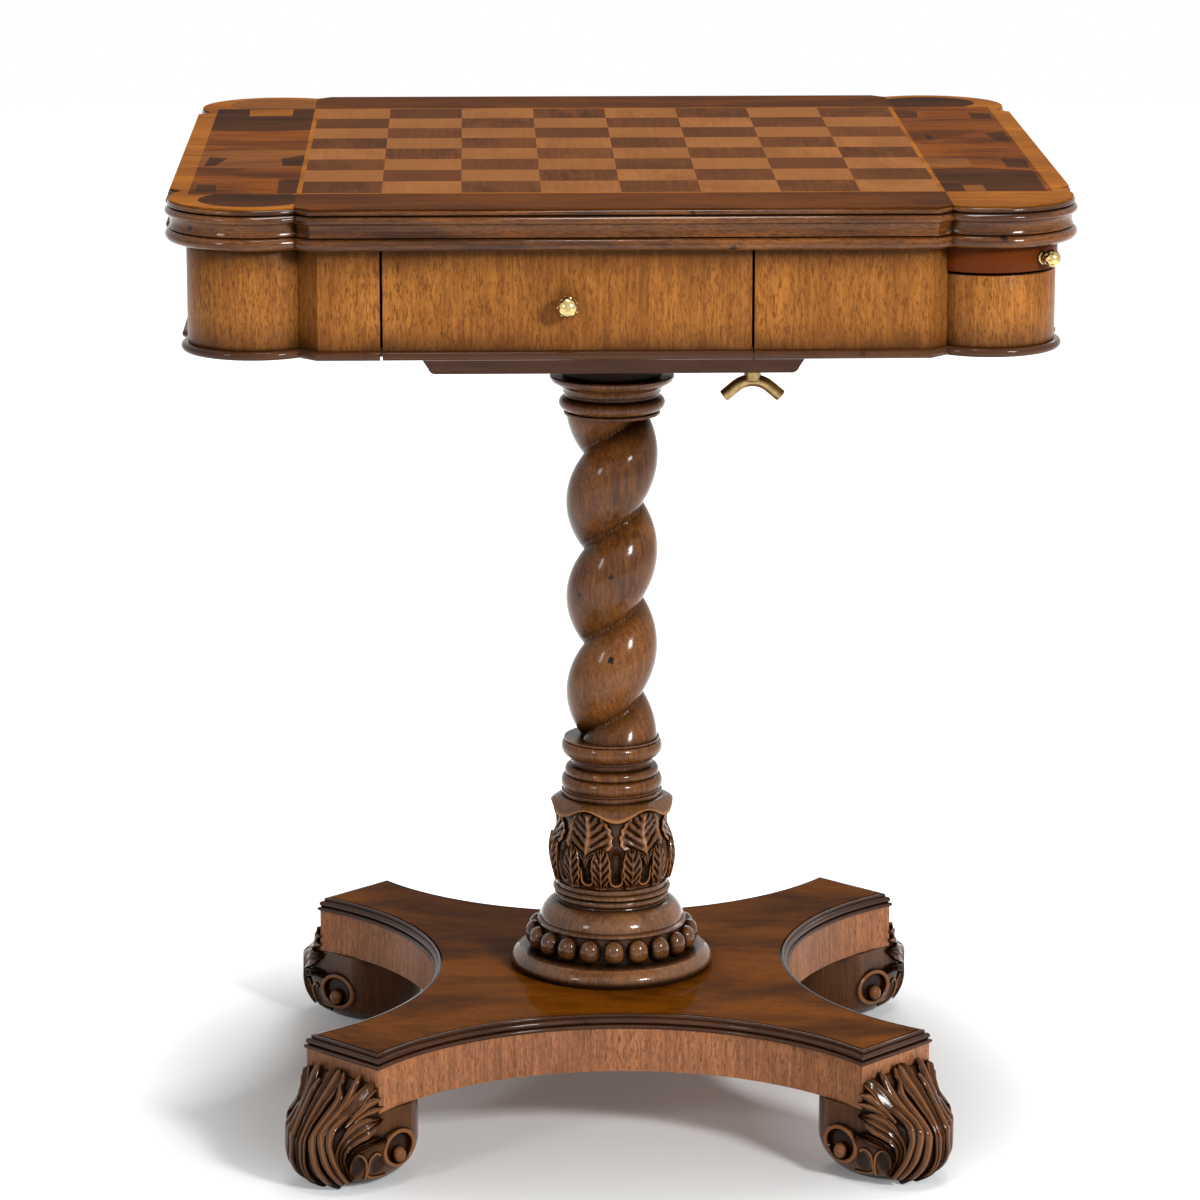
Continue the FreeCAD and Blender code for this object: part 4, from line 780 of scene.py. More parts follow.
def build_trays():
    half, tail, lip = 47.7, 150.0, CORNER_STEP + 0.35
    lip_half = math.sqrt(TRAY_NOSE * TRAY_NOSE - lip * lip)
    points = ((-tail, -half), (lip, -half), (lip, -lip_half, TRAY_NOSE - 1e-6), (lip, lip_half),
              (lip, half), (-tail, half))
    tray = plate("tray_front", points, TRAY_FOOT, TRAY_TOP, bevel=1.0, segments=3, spacing=2.0)
    well_radius, well_height = 36, 22
    bpy.ops.mesh.primitive_cylinder_add(vertices=120, radius=well_radius * MM, depth=well_height * MM,
                                        location=(0, 0, TRAY_TOP * MM))
    carve(tray, bpy.context.object)
    bpy.ops.mesh.primitive_cylinder_add(vertices=32, radius=3 * MM, depth=12 * MM,
                                        location=(-140 * MM, 0, 700 * MM))
    stop = bpy.context.object
    take(stop)
    bpy.ops.object.transform_apply(location=True)
    tray = join([tray, stop])
    corner = Matrix.Translation((TURRET_AT[0] * MM, -TURRET_AT[1] * MM, 0))
    lay(tray, corner @ Matrix.Rotation(-math.pi / 4, 4, "Z"))
    finish_pair(tray, "tray_back", "tray", "tray_walnut", TRAY_WOOD, "tray")


def knob(name, radius, reach, rosette):
    """A ball knob with a petalled face, on a rosette; it points along +Z."""
    centre = reach - radius
    profile = (
        (0.0, -12.0), (2.0, -12.0), (2.0, 0.0), (rosette, 0.0), (rosette + 0.3, 0.8), (rosette, 1.6),
        (3.4, 2.4, -2.0), (2.9, centre - radius * 0.86), (radius * 0.62, centre - radius * 0.78, radius),
        (radius * 0.98, centre - 0.1 * radius, radius), (radius * 0.25, reach - 0.25),
        (0.0, reach - 0.9),
    )

    def petals(angle, height, at):
        rise = (height - centre) / radius
        if abs(rise) > 0.8:
            return 0.0
        wave = max(0.0, math.cos(7 * angle) * math.cos(6.5 * rise) - 0.1)
        return -at * 0.30 * (1 - abs(rise)) * wave

    return turn(name, profile, columns=96, spacing=0.35, swell=petals)


def build_knobs():
    to_front = Matrix.Rotation(math.pi / 2, 4, "X")
    large = knob("drawer_knob_front", 8.2, 20.0, 5.2)
    lay(large, shift(DRAWER_MIDDLE, -CASE_HALF[1], 680.0) @ to_front)
    finish_pair(large, "drawer_knob_back", "drawer", "brass", BRASS, "drawer_knob", smooth=60)
    small = knob("tray_knob_front", 6.6, 15.0, 5.0)
    along = TRAY_NOSE * math.sqrt(0.5)
    nose = shift(TURRET_AT[0] + along, -TURRET_AT[1] - along, 709.85)
    lay(small, nose @ Matrix.Rotation(math.pi / 4, 4, "Z") @ to_front)
    finish_pair(small, "tray_knob_back", "tray", "brass", BRASS, "tray_knob", smooth=60)


# ---------------------------------------------------------------- the column

def build_capital():
    profile = (
        (ROD_HOLE, 0.0), (36.2, 0.0), (37.4, 0.8), (37.4, 2.6), (36.4, 3.2), (37.2, 4.2, 5.42),
        (37.0, 14.6), (36.4, 15.2), (36.4, 17.6), (38.0, 18.2), (38.2, 18.6, -7.0), (42.8, 24.2),
        (42.8, 24.8), (44.8, 25.2, 6.0), (48.0, 30.2), (47.3, 31.2), (38.5, 32.0), (38.5, 40.5),
        (ROD_HOLE, 40.5),
    )
    piece = turn("capital_rings", profile, foot=TWIST_TOP, columns=128, spacing=0.7)
    finish(piece, "table", "turned_walnut", TWIST_WOOD, "capital")


def twist_radius(rise):
    """The radius of the shaft at a height above the bottom of its groove."""
    half = TWIST_PITCH / 2
    depth = TWIST_CREST - TWIST_GROOVE
    lobe = (half * half + depth * depth) / (2 * depth)
    away = abs((rise + half) % TWIST_PITCH - half)
    return math.sqrt(lobe * lobe - (half - away) ** 2) - (lobe - TWIST_CREST)


def build_twist():
    columns, levels = 120, 150
    rows = []
    for level in range(levels + 1):
        height = (TWIST_TOP - TWIST_FOOT) * level / levels
        row = []
        for column in range(columns):
            angle = TAU * column / columns
            reach = twist_radius(height - TWIST_PHASE - TWIST_PITCH * angle / TAU)
            row.append((reach * math.cos(angle), reach * math.sin(angle), TWIST_FOOT + height))
        rows.append(row)
    finish(skin("barley_twist", rows), "table", "turned_walnut", TWIST_WOOD, "twist_shaft", smooth=50)


def build_collar():
    profile = (
        (ROD_HOLE, 0.0), (38.9, 0.0), (39.4, 0.8), (39.4, 3.6), (38.0, 4.3), (37.9, 5.3, 8.1), (37.6, 15.6),
        (35.8, 16.3), (36.3, 17.0, 5.0), (32.5, 24.0), (31.2, 25.2, -4.0), (31.4, 28.3), (32.8, 28.8),
        (32.8, 30.0), (33.6, 30.3, 8.5), (37.8, 43.3), (36.6, 43.7), (37.2, 44.2), (37.2, 45.5),
        (ROD_HOLE, 45.5),
    )
    piece = turn("collar_rings", profile, foot=COLLAR_FOOT, columns=128, spacing=0.7)
    finish(piece, "table", "turned_walnut", TWIST_WOOD, "turned_collar")


# the vase under the leaves, as (radius, height above its foot), and where its leaves stand round the column
VASE = line_of((
    (43.6, 0.0), (44.0, 2.0), (43.6, 4.2), (42.2, 5.0), (42.6, 8.0, 60.0), (46.2, 26.0, 44.0),
    (40.6, 46.0, -30.0), (42.6, 62.0), (42.0, 66.0), (39.0, 70.0), (39.0, 73.0),
), 1.0)
VASE_GIRTH = 44.0             # its radius where the hollows lie
LEAF_AT = math.radians(-57)
SIXTH = TAU / 6


def vase_radius(level):
    """The radius of the vase under its leaves, and how it grows with height."""
    height = min(max(level - VASE_FOOT, 0.01), 72.9)
    for low, high in zip(VASE, VASE[1:]):
        if low[1] <= height <= high[1] and high[1] > low[1]:
            share = (height - low[1]) / (high[1] - low[1])
            return low[0] + (high[0] - low[0]) * share, (high[0] - low[0]) / (high[1] - low[1])
    return VASE[-1][0], 0.0


def on_vase(place):
    angle = math.atan2(place[1], place[0])
    radius, growth = vase_radius(place[2])
    out = Vector((math.cos(angle), math.sin(angle), -max(-0.6, min(0.6, growth)))).normalized()
    return Vector((radius * math.cos(angle), radius * math.sin(angle), place[2])), out


def veined(veins, lean, thick, start):
    """The relief of a leaf with a raised midrib, a raised rim and cuts between its veins; its tone paints
    highlight on the rib and the rim and shade in the cuts.
    """
    def relief(share, side):
        away = abs(side)
        rib = math.exp(-(away / 0.09) ** 2)
        rim = math.exp(-((away - 0.93) / 0.07) ** 2)
        run = (share - start - lean * away) * veins
        near = abs(run - round(run))
        length = min(1.0, away / 0.16) * max(0.0, min(1.0, (0.86 - away) / 0.16))
        cut = math.exp(-(near / 0.19) ** 2) * length if share > start else 0.0
        height = thick * (1 - 0.22 * away ** 4) + 1.2 * rib + 0.6 * rim - 1.9 * cut * (1 - rib)
        return height, max(0.0, min(1.0, 0.52 + 0.5 * max(rib, rim) - 0.75 * cut))
    return relief


def vase_leaf(name, angle, low, high, halves, relief, steps, columns):
    """A leaf up the vase; halves are (share, half width) pairs."""
    stem = [(100 * math.cos(angle), 100 * math.sin(angle), VASE_FOOT + low + (high - low) * step / steps)
            for step in range(steps + 1)]
    return leaf(name, stem, half_widths(halves, steps), relief, on_vase, columns)


def vase_rim(angle):
    """A rim down one side of a hollow of the vase, round its foot and up the other side."""
    rim, half = [], 4.9
    for step in range(25):
        if step < 5 or step > 19:
            side = -1 if step < 5 else 1
            across, rise = half * side, 2.2 * (5 - step if step < 5 else step - 19)
        else:
            bend = math.pi * (1 + (step - 5) / 14)
            across, rise = half * math.cos(bend), 4.4 * math.sin(bend)
        at = angle + across / VASE_GIRTH
        spot, out = on_vase((math.cos(at), math.sin(at), VASE_FOOT + 12.8 + rise))
        rim.append(spot + out * 0.5)
    # its tone paints highlight along the rim
    return cord("hollow_rim", rim, [0.9] * len(rim), tone=0.9)


def build_vase():
    def hollows(angle, height, at):
        turned = (angle - LEAF_AT + SIXTH / 4) % (SIXTH / 2) - SIXTH / 4
        across = turned * VASE_GIRTH / 4.4
        if abs(across) > 1.2 or not 9.0 < height < 40.0:
            return 0.0
        depth = max(0.0, 1 - across ** 4) * min(1.0, (height - 9.0) / 3.0) * min(1.0, (40.0 - height) / 8.0)
        return -5.0 * depth

    profile = [(ROD_HOLE, 0.0)] + [tuple(point) for point in VASE] + [(ROD_HOLE, 73.0)]
    body = turn("leaf_vase_body", profile, foot=VASE_FOOT, columns=240, swell=hollows)
    # painted shade on the body between and behind the leaves; its foot keeps its plain colour
    pieces = [paint_light_tones(body, lambda spot: 0.6 if spot.z < VASE_FOOT + 5 else 0.14)]
    big = ((0.0, 1.2), (0.12, 2.6), (0.20, 5.4), (0.26, 12.0), (0.33, 19.0), (0.40, 21.4), (0.46, 20.0),
           (0.54, 20.6), (0.61, 18.2), (0.69, 18.6), (0.76, 15.8), (0.83, 15.8), (0.89, 12.8), (0.94, 11.8),
           (0.98, 8.0), (1.0, 3.0))
    small = ((0.0, 4.0), (0.16, 4.6), (0.30, 7.0), (0.38, 6.5), (0.50, 7.8), (0.58, 7.2), (0.70, 7.2),
             (0.80, 6.0), (0.90, 5.0), (0.96, 3.6), (1.0, 1.4))
    for index in range(6):
        angle = LEAF_AT + index * SIXTH
        veins = veined(6.2, 0.34, 2.2, 0.16)
        pieces.append(vase_leaf("big_leaf", angle, 24.0, 66.5, big, veins, 72, 52))
        for turned in (SIXTH / 4, -SIXTH / 4):
            veins = veined(4.8, 0.30, 3.3, 0.06)
            pieces.append(vase_leaf("small_leaf", angle + turned, 6.5, 38.5, small, veins, 44, 26))
        for turned in (0.0, SIXTH / 2):
            pieces.append(vase_rim(angle + turned))
    vase = join(pieces)
    finish(vase, "table", "carved_walnut", CARVED_WOOD, "leaf_vase", smooth=40)


def build_skirt():
    """The skirt over the leaves, its edge cut in six waves."""
    profile = line_of((
        (38.6, 0.0), (39.5, 0.0), (41.4, 0.10), (43.4, 0.24), (45.4, 0.46), (46.8, 0.72), (47.6, 0.94),
        (47.9, 1.03), (47.5, 1.08), (46.8, 1.06), (45.0, 0.92), (42.6, 0.80), (38.6, 0.70),
    ))
    rows, tones, columns = [], [], 192
    top = VASE_FOOT + 72.8
    for index, (radius, share) in enumerate(profile):
        row = []
        for column in range(columns):
            angle = TAU * column / columns
            fall = 7.9 - 3.9 * math.cos(6 * (angle - LEAF_AT))
            row.append((radius * math.cos(angle), radius * math.sin(angle), top - fall * share))
        rows.append(row)
        # painted highlight along the wavy edge; the rest of the skirt keeps its plain colour
        tones.append([0.95 if 6 <= index <= 9 else 0.5] * columns)
    skirt = skin("vase_skirt", rows, loop=True, tones=tones + tones[:1])
    finish(skirt, "table", "carved_walnut", CARVED_WOOD, smooth=50)


def build_beaded_foot():
    profile = (
        (ROD_HOLE, 0.0), (77.4, 0.0), (78.0, 0.6, 8.0), (75.2, 11.2), (73.6, 12.4), (72.6, 13.5),
        (58.5, 14.2), (57.0, 34.0), (58.7, 35.2), (58.4, 36.8), (56.2, 37.8), (56.4, 39.3, 18.0),
        (43.6, 53.5), (43.2, 54.4), (43.8, 55.0, 3.6), (43.8, 60.3), (43.0, 60.8), (45.4, 61.4, 1.6),
        (45.4, 64.2), (44.4, 65.0), (ROD_HOLE, 65.0),
    )
    body = turn("column_foot", profile, foot=PLATFORM_TOP, columns=160, spacing=0.8)
    finish(body, "table", "carved_walnut", DOME_WOOD, "beaded_foot")
    beads = []
    count, ring_radius = 20, 60.5
    for index in range(count):
        bpy.ops.mesh.primitive_uv_sphere_add(segments=28, ring_count=18, radius=1.0)
        bead = bpy.context.object
        place = Matrix.Rotation(TAU * index / count, 4, "Z") @ shift(ring_radius, 0, PLATFORM_TOP + 24.0)
        lay(bead, place @ Matrix.Diagonal((7.4 * MM, 8.4 * MM, 9.9 * MM, 1)))
        beads.append(bead)
    ring = join(beads)
    ring.name = "bead_ring"
    finish(ring, "table", "carved_walnut", BEAD_RING_WOOD, smooth=60)


def build_wing_bolt():
    """A bent brass rod with flat ends, a collar and a shank up into the bearer."""
    fall, bend, arm, middle, across = math.radians(40), 20.0, 12.0, 570.0, 108.0
    right = []
    for run in (arm, arm - 0.6, arm / 2):
        out = bend * math.sin(fall) + run * math.cos(fall)
        right.append(Vector((out, 0, bend * (math.cos(fall) - 1) - run * math.sin(fall))))
    path = [Vector((-spot.x, 0, spot.z)) for spot in right]
    for step in range(17):
        swing = fall * (step / 8 - 1)
        path.append(Vector((bend * math.sin(swing), 0, bend * (math.cos(swing) - 1))))
    path += right[::-1]
    radii = [4.3] + [4.85] * (len(path) - 2) + [4.3]
    wings = cord("wing_bolt_wings", path, radii, columns=28)
    lay(wings, shift(across, 0, middle))
    profile = ((0.0, 0.0), (6.1, 0.0), (6.5, 0.4), (6.5, 13.1), (6.1, 13.5), (4.0, 13.5), (4.0, 95.0),
               (0.0, 95.0))
    shank = turn("wing_bolt_shank", profile, (across, 0), middle, columns=40)
    finish(join([wings, shank]), "wing_bolt", "brass", OLD_BRASS, "wing_bolt", smooth=40)


# ---------------------------------------------------------------- the base

def platform_outline(offset):
    """The four-armed platform, moved out by an offset."""
    steps = 40
    corner = (ARM_REACH + offset) * math.sqrt(2)
    radius = SCOOP_RADIUS - offset
    short = (corner - SCOOP_DISTANCE + math.sqrt(2 * radius ** 2 - (SCOOP_DISTANCE - corner) ** 2)) / 2
    long = corner - short
    spacing = 2.0001 * radius * math.asin(short / radius) / steps
    side = line_of(((long, -short, -radius), (long, short)), spacing)
    return [Matrix.Rotation(quarter * math.pi / 2, 2) @ point for quarter in range(4) for point in side]


def build_platform():
    levels = (PLATFORM_FOOT, PLATFORM_EDGE_FOOT)
    rows = [[(x, y, level) for x, y in platform_outline(0)] for level in levels]
    body = skin("platform_body", rows)
    finish(body, "table", "platform_walnut", PLATFORM_WOOD, "platform", smooth=30)
    panel_offset, panel_foot = -5.6, 104.0
    profile = line_of((
        (0.0, PLATFORM_EDGE_FOOT), (0.6, PLATFORM_EDGE_FOOT), (0.7, 94.3, 1.5), (0.7, 97.0), (-0.7, 97.5),
        (-0.3, 98.0, 2.5), (-0.9, 102.0), (-2.3, 102.4), (-2.3, 103.0, 1.1), (-4.4, 104.3),
        (-4.9, panel_foot), (panel_offset, panel_foot),
    ), 0.5)
    rows = [[(x, y, level) for x, y in platform_outline(offset)] for offset, level in profile]
    edge = skin("platform_edge", rows)
    outline = [tuple(point) for point in platform_outline(panel_offset)]
    panel = plate("platform_panel", outline, panel_foot, PLATFORM_TOP)
    finish(edge, "table", "platform_walnut", EDGE_WOOD, "platform_top", smooth=40)
    finish(panel, "table", "platform_walnut", PLATFORM_TOP_WOOD)


# sizes of a scroll foot; along runs out along the arm from the middle of the foot
FOOT_MIDDLE, FOOT_HALF, FOOT_TOP = 11.5, (53.5, 41.5), 82.0
FOOT_CORE = Vector((13.0, 0.0, 36.0))
VOLUTE_AT = (-8.5, 28.8)


def foot_depth(place):
    """How far a place is outside the plain scroll foot; below zero is inside."""
    along, across, level = place
    girth, rounding, shoulder, block, lean = 44.0, 29.0, 38.0, 60.0, 41.5
    reach = math.hypot(along / FOOT_HALF[0], across / FOOT_HALF[1])
    wall = (reach - 1) * girth
    if level < rounding and wall > -rounding:
        depth = math.hypot(wall + rounding, rounding - level) - rounding
    else:
        depth = max(wall, -level)
    if level > shoulder:
        rise = (level - shoulder) / 46.0
        nose = FOOT_HALF[0] - lean * rise ** 1.35
        near = min(1.0, (level - shoulder) / 24.0)
        nose -= (nose - FOOT_MIDDLE) * 0.8 * near * near * (3 - 2 * near) * (across / 38.0) ** 2
        depth = max(depth, (along - nose) * 0.72)
        half = 37.5 - 5.0 * max(0.0, rise - 0.45) - 26.0 * max(0.0, rise - 0.86)
        depth = max(depth, abs(across) - half)
    if level > block:
        depth = max(depth, FOOT_MIDDLE - along)
    return max(depth, level - FOOT_TOP)


def on_foot(place):
    """Where the line from a foot's core through a place leaves its plain surface, and the way out there."""
    way = Vector(place) - FOOT_CORE
    way = way.normalized() if way.length > 1e-6 else Vector((1, 0, 0))
    low, high = 0.0, 90.0
    for _ in range(22):
        middle = (low + high) / 2
        if foot_depth(FOOT_CORE + way * middle) < 0:
            low = middle
        else:
            high = middle
    spot = FOOT_CORE + way * low
    steps = (Vector((3, 0, 0)), Vector((0, 3, 0)), Vector((0, 0, 3)))
    out = Vector([foot_depth(spot + step) - foot_depth(spot - step) for step in steps])
    return spot, out.normalized()


def lobed(share, side):
    """The middle leaf: a lip at each side of a rounded middle, curling out at its tip; its tone paints
    highlight on the lips and the middle and shade between them and at the edges.
    """
    away = abs(side)
    lip = math.exp(-((away - 0.80) / 0.15) ** 2)
    middle = math.exp(-(away / 0.34) ** 2)
    tip = 1 + 0.5 * math.exp(-(share / 0.08) ** 2)
    return (1.5 + 2.2 * lip + 1.9 * middle) * tip, 0.08 + 0.85 * max(lip, middle)


def band(share, side):
    """A rounded strand, curling out at its tip; its tone paints highlight along its crest, strongest a
    little to one side, and shade at its edges.
    """
    crest = math.sqrt(max(0.0, 1 - (0.95 * abs(side)) ** 2))
    tip = 1 + 0.6 * math.exp(-(share / 0.10) ** 2)
    return (0.3 + 3.5 * crest) * tip, 0.5 * crest ** 2 + 0.45 * math.exp(-((side + 0.2) / 0.28) ** 2)


def spoon(share, side):
    """A strand that opens into a hollow bowl at its tip; its tone paints highlight on the strand's crest
    and round the bowl's rim.
    """
    away = abs(side)
    rim = math.exp(-((away - 0.80) / 0.17) ** 2)
    bowl = max(0.0, min(1.0, (0.42 - share) / 0.12))
    height, tone = band(share, side)
    return height + (2.0 + 2.4 * rim - height) * bowl, tone + (0.62 + 0.35 * rim - tone) * bowl


def ribbed(share, side):
    """A leaf with a raised rim and ribs along it; its tone paints highlight on the rim and the ribs and
    shade between them.
    """
    away = abs(side)
    rim = math.exp(-((away - 0.86) / 0.11) ** 2)
    rib = 0.5 + 0.5 * math.cos(TAU * 1.6 * away)
    return 1.4 + 1.9 * rim + 1.7 * rib * (1 - rim), 0.05 + 0.85 * max(rim, rib * (1 - rim))


# the carving of a scroll foot: relief, places down it, (share, half width) pairs, whether it has a twin;
# then the rims of its hollows, and the hollows as (along, level, reach, rise)
FOOT_LEAVES = (
    (lobed, ((13.0, 0, 82.0), (19.0, 0, 79.0), (25.0, 0, 73.0), (33.0, 0, 65.5), (42.0, 0, 56.0),
             (49.0, 0, 46.0), (52.5, 0, 36.0), (50.5, 0, 24.0), (42.0, 0, 11.0), (32.0, 0, 3.0)),
     ((0.0, 5.0), (0.03, 8.5), (0.09, 10.4), (0.24, 9.6), (0.38, 7.4), (0.52, 5.6), (1.0, 3.6)), False),
    (band, ((21.0, 10.5, 75.5), (28.0, 14.0, 69.0), (37.0, 12.5, 60.0), (44.0, 11.0, 52.0),
            (49.5, 10.0, 44.0), (50.5, 10.0, 35.0), (47.0, 11.5, 23.0), (39.0, 13.5, 11.0),
            (30.0, 13.5, 4.0)),
     ((0.0, 1.6), (0.10, 3.6), (0.40, 4.0), (1.0, 3.2)), True),
    (band, ((13.5, 21.5, 81.5), (22.5, 22.0, 74.5), (29.5, 21.8, 68.5), (38.4, 19.2, 59.6),
            (45.3, 16.8, 51.6), (48.0, 15.8, 42.5), (46.5, 17.2, 30.0), (42.0, 19.5, 20.0),
            (33.0, 21.0, 9.0)),
     ((0.0, 2.0), (0.04, 3.6), (0.16, 4.8), (0.40, 3.9), (1.0, 3.1)), True),
    (spoon, ((12.5, 33.5, 80.0), (22.5, 32.5, 74.5), (29.5, 31.0, 68.3), (33.5, 29.0, 64.5),
             (40.0, 25.3, 56.5), (44.5, 22.3, 49.0), (46.0, 21.3, 40.3), (44.3, 22.8, 30.0),
             (40.0, 24.8, 20.0), (31.0, 25.0, 9.0)),
     ((0.0, 2.4), (0.04, 4.8), (0.13, 6.2), (0.26, 5.6), (0.36, 3.8), (0.5, 3.4), (1.0, 2.9)), True),
    (band, ((12.5, 38.0, 74.0), (20.0, 37.4, 70.0), (27.0, 36.2, 65.5), (31.5, 34.0, 60.0),
            (37.0, 30.2, 52.5)),
     ((0.0, 1.8), (0.10, 3.2), (0.5, 3.6), (0.8, 2.8), (1.0, 1.6)), True),
    (band, ((12.0, 38.6, 66.0), (18.7, 38.0, 64.0), (25.6, 37.0, 61.0), (31.0, 34.2, 56.0)),
     ((0.0, 1.4), (0.15, 2.8), (0.6, 2.8), (1.0, 1.6)), True),
    (ribbed, ((9.0, 37.4, 55.6), (15.0, 37.4, 54.2), (20.5, 37.2, 52.6), (26.5, 36.3, 50.2),
              (32.5, 33.0, 46.5), (37.3, 29.8, 41.0), (40.0, 27.6, 35.0), (40.3, 27.3, 27.0),
              (36.5, 28.0, 18.0), (30.0, 27.0, 9.0)),
     ((0.0, 0.5), (0.10, 3.8), (0.22, 6.8), (0.34, 7.8), (0.46, 7.0), (0.56, 5.5), (0.66, 4.3), (0.8, 3.5),
      (1.0, 2.6)), True),
    (ribbed, ((7.0, 40.8, 37.0), (12.0, 39.8, 39.0), (18.0, 38.4, 39.4), (24.0, 37.0, 38.4),
              (29.5, 34.5, 36.0), (34.0, 32.0, 31.5), (36.0, 30.3, 25.0), (35.0, 29.3, 18.0),
              (30.5, 28.0, 11.0)),
     ((0.0, 0.4), (0.12, 2.2), (0.3, 3.4), (0.5, 3.0), (0.65, 2.1), (1.0, 1.5)), True),
)
FOOT_RIMS = (
    ((33.0, 29.0, 13.0), (34.4, 30.4, 20.0), (34.2, 31.6, 27.0), (31.5, 33.3, 31.0), (27.5, 35.4, 30.8),
     (24.2, 36.6, 26.5), (22.6, 36.4, 20.5), (21.0, 33.6, 13.5), (20.0, 31.2, 9.0)),
    ((20.4, 34.4, 13.0), (21.3, 36.9, 20.0), (20.9, 37.8, 25.5), (18.6, 38.7, 29.0), (15.4, 39.5, 30.4),
     (12.2, 40.2, 28.6)),
    ((20.4, 34.4, 13.0), (16.5, 33.6, 10.4), (10.0, 33.7, 9.6), (3.0, 34.0, 10.4)),
)
FOOT_HOLLOWS = ((28.2, 21.5, 5.2, 8.6), (12.8, 20.5, 7.0, 8.8))


def handed_curve(path, hand, count):
    """A smooth curve through places on one side of a foot."""
    return curve_through([(along, hand * across, level) for along, across, level in path], count)


def hollowed(spot):
    """How deep a place lies in the hollows at the sides of a foot, from 0 to 1."""
    near = min(math.hypot((spot.x - along) / reach, (spot.z - level) / rise)
               for along, level, reach, rise in FOOT_HOLLOWS)
    return max(0.0, 1 - near ** 4) if abs(spot.y) > 22 else 0.0


def foot_bulb():
    """The plain body of a scroll foot, hollowed at its sides and cut flat behind its volutes."""
    bpy.ops.mesh.primitive_ico_sphere_add(subdivisions=7, radius=1.0)
    bulb = bpy.context.object
    places, flat, deepest = [], 34.0, 1.9
    for vertex in bulb.data.vertices:
        spot, out = on_foot(FOOT_CORE + vertex.co)
        spot -= out * deepest * hollowed(spot)
        if math.hypot((spot.x - VOLUTE_AT[0]) / 15.5, (spot.z - VOLUTE_AT[1]) / 12.4) < 1:
            spot.y = max(-flat, min(flat, spot.y))
        places.extend(value * MM for value in spot)
    bulb.data.vertices.foreach_set("co", places)
    # painted shade all over the plain body, deepest in its hollows and beyond 33 mm, where it lies under
    # the leaves
    return paint_light_tones(bulb, lambda spot: 0.30 - 0.28 * hollowed(spot) if spot.x < 33 or hollowed(spot) else 0.05)


def foot_rim(path, hand):
    """A rim along the edge of a hollow in a foot."""
    rim = []
    for point in handed_curve(path, hand, 36):
        spot, out = on_foot(point)
        rim.append(spot + out * 0.5)
    # its tone paints highlight along the rim
    return cord("hollow_rim", rim, [1.1] * len(rim), tone=0.95)


def volute(hand):
    """The ring at one side of a foot, and the boss in it."""
    profile = ((0.0, -9.0), (14.8, -9.0), (14.6, -0.2), (14.3, 0.2, 1.7), (11.3, 0.2), (10.7, -3.0),
               (0.0, -2.0))
    disc = turn("volute", profile, columns=72, spacing=0.4)
    # painted highlight on the face of the ring, painted shade on the sunk face inside it
    paint_light_tones(disc, lambda spot: 1.0 if spot.z > 0.3 else 0.5 if math.hypot(spot.x, spot.y) > 14 else 0.08)
    swing = Matrix.Rotation(math.radians(hand * 5), 4, "Z")
    tip = Matrix.Rotation(-hand * math.pi / 2, 4, "X")
    stretch = Matrix.Diagonal((1.26, 1.0, 1.0, 1.0))
    lay(disc, shift(VOLUTE_AT[0], hand * 39.6, VOLUTE_AT[1]) @ swing @ tip @ stretch)
    bpy.ops.mesh.primitive_uv_sphere_add(segments=32, ring_count=20, radius=6.2 * MM)
    boss = lay(bpy.context.object, shift(-7.6, hand * 38.8, 23.8))
    # painted highlight on the boss
    return [disc, paint_light_tones(boss, lambda spot: 0.85)]


def foot_pieces():
    """The pieces of a scroll foot on the +X axis, its middle at the origin."""
    pieces = [foot_bulb()]
    for relief, path, halves, paired in FOOT_LEAVES:
        for hand in (1, -1) if paired else (1,):
            stem = handed_curve(path, hand, 48)
            pieces.append(leaf("foot_leaf", stem, half_widths(halves, 48), relief, on_foot, 16, 2.2))
    for hand in (1, -1):
        pieces += [foot_rim(path, hand) for path in FOOT_RIMS]
        pieces += volute(hand)
    return pieces


def build_feet():
    foot = join(foot_pieces())
    foot.name = "scroll_foot"
    for vertex in foot.data.vertices:
        vertex.co.z = max(vertex.co.z, 0.0)
    lay(foot, shift(ARM_REACH - FOOT_MIDDLE))
    for name, swing in (("back_right", 45), ("back_left", 135), ("front_left", 225), ("front_right", 315)):
        twin = copy_of(foot, "scroll_" + name, Matrix.Rotation(math.radians(swing), 4, "Z"))
        finish(twin, "table", "carved_walnut", SCROLL_WOOD, name + "_foot", smooth=55)
    bpy.data.objects.remove(foot)


# ---------------------------------------------------------------- the inlaid top

def inlay(name, outline):
    return plate(name, outline, VENEER_FOOT, TOP, spacing=2.0)


def bed(outline):
    """A tool that clears the place of an inlay."""
    return plate("bed", outline, VENEER_FOOT - 1, TOP + 1, spacing=2.0)


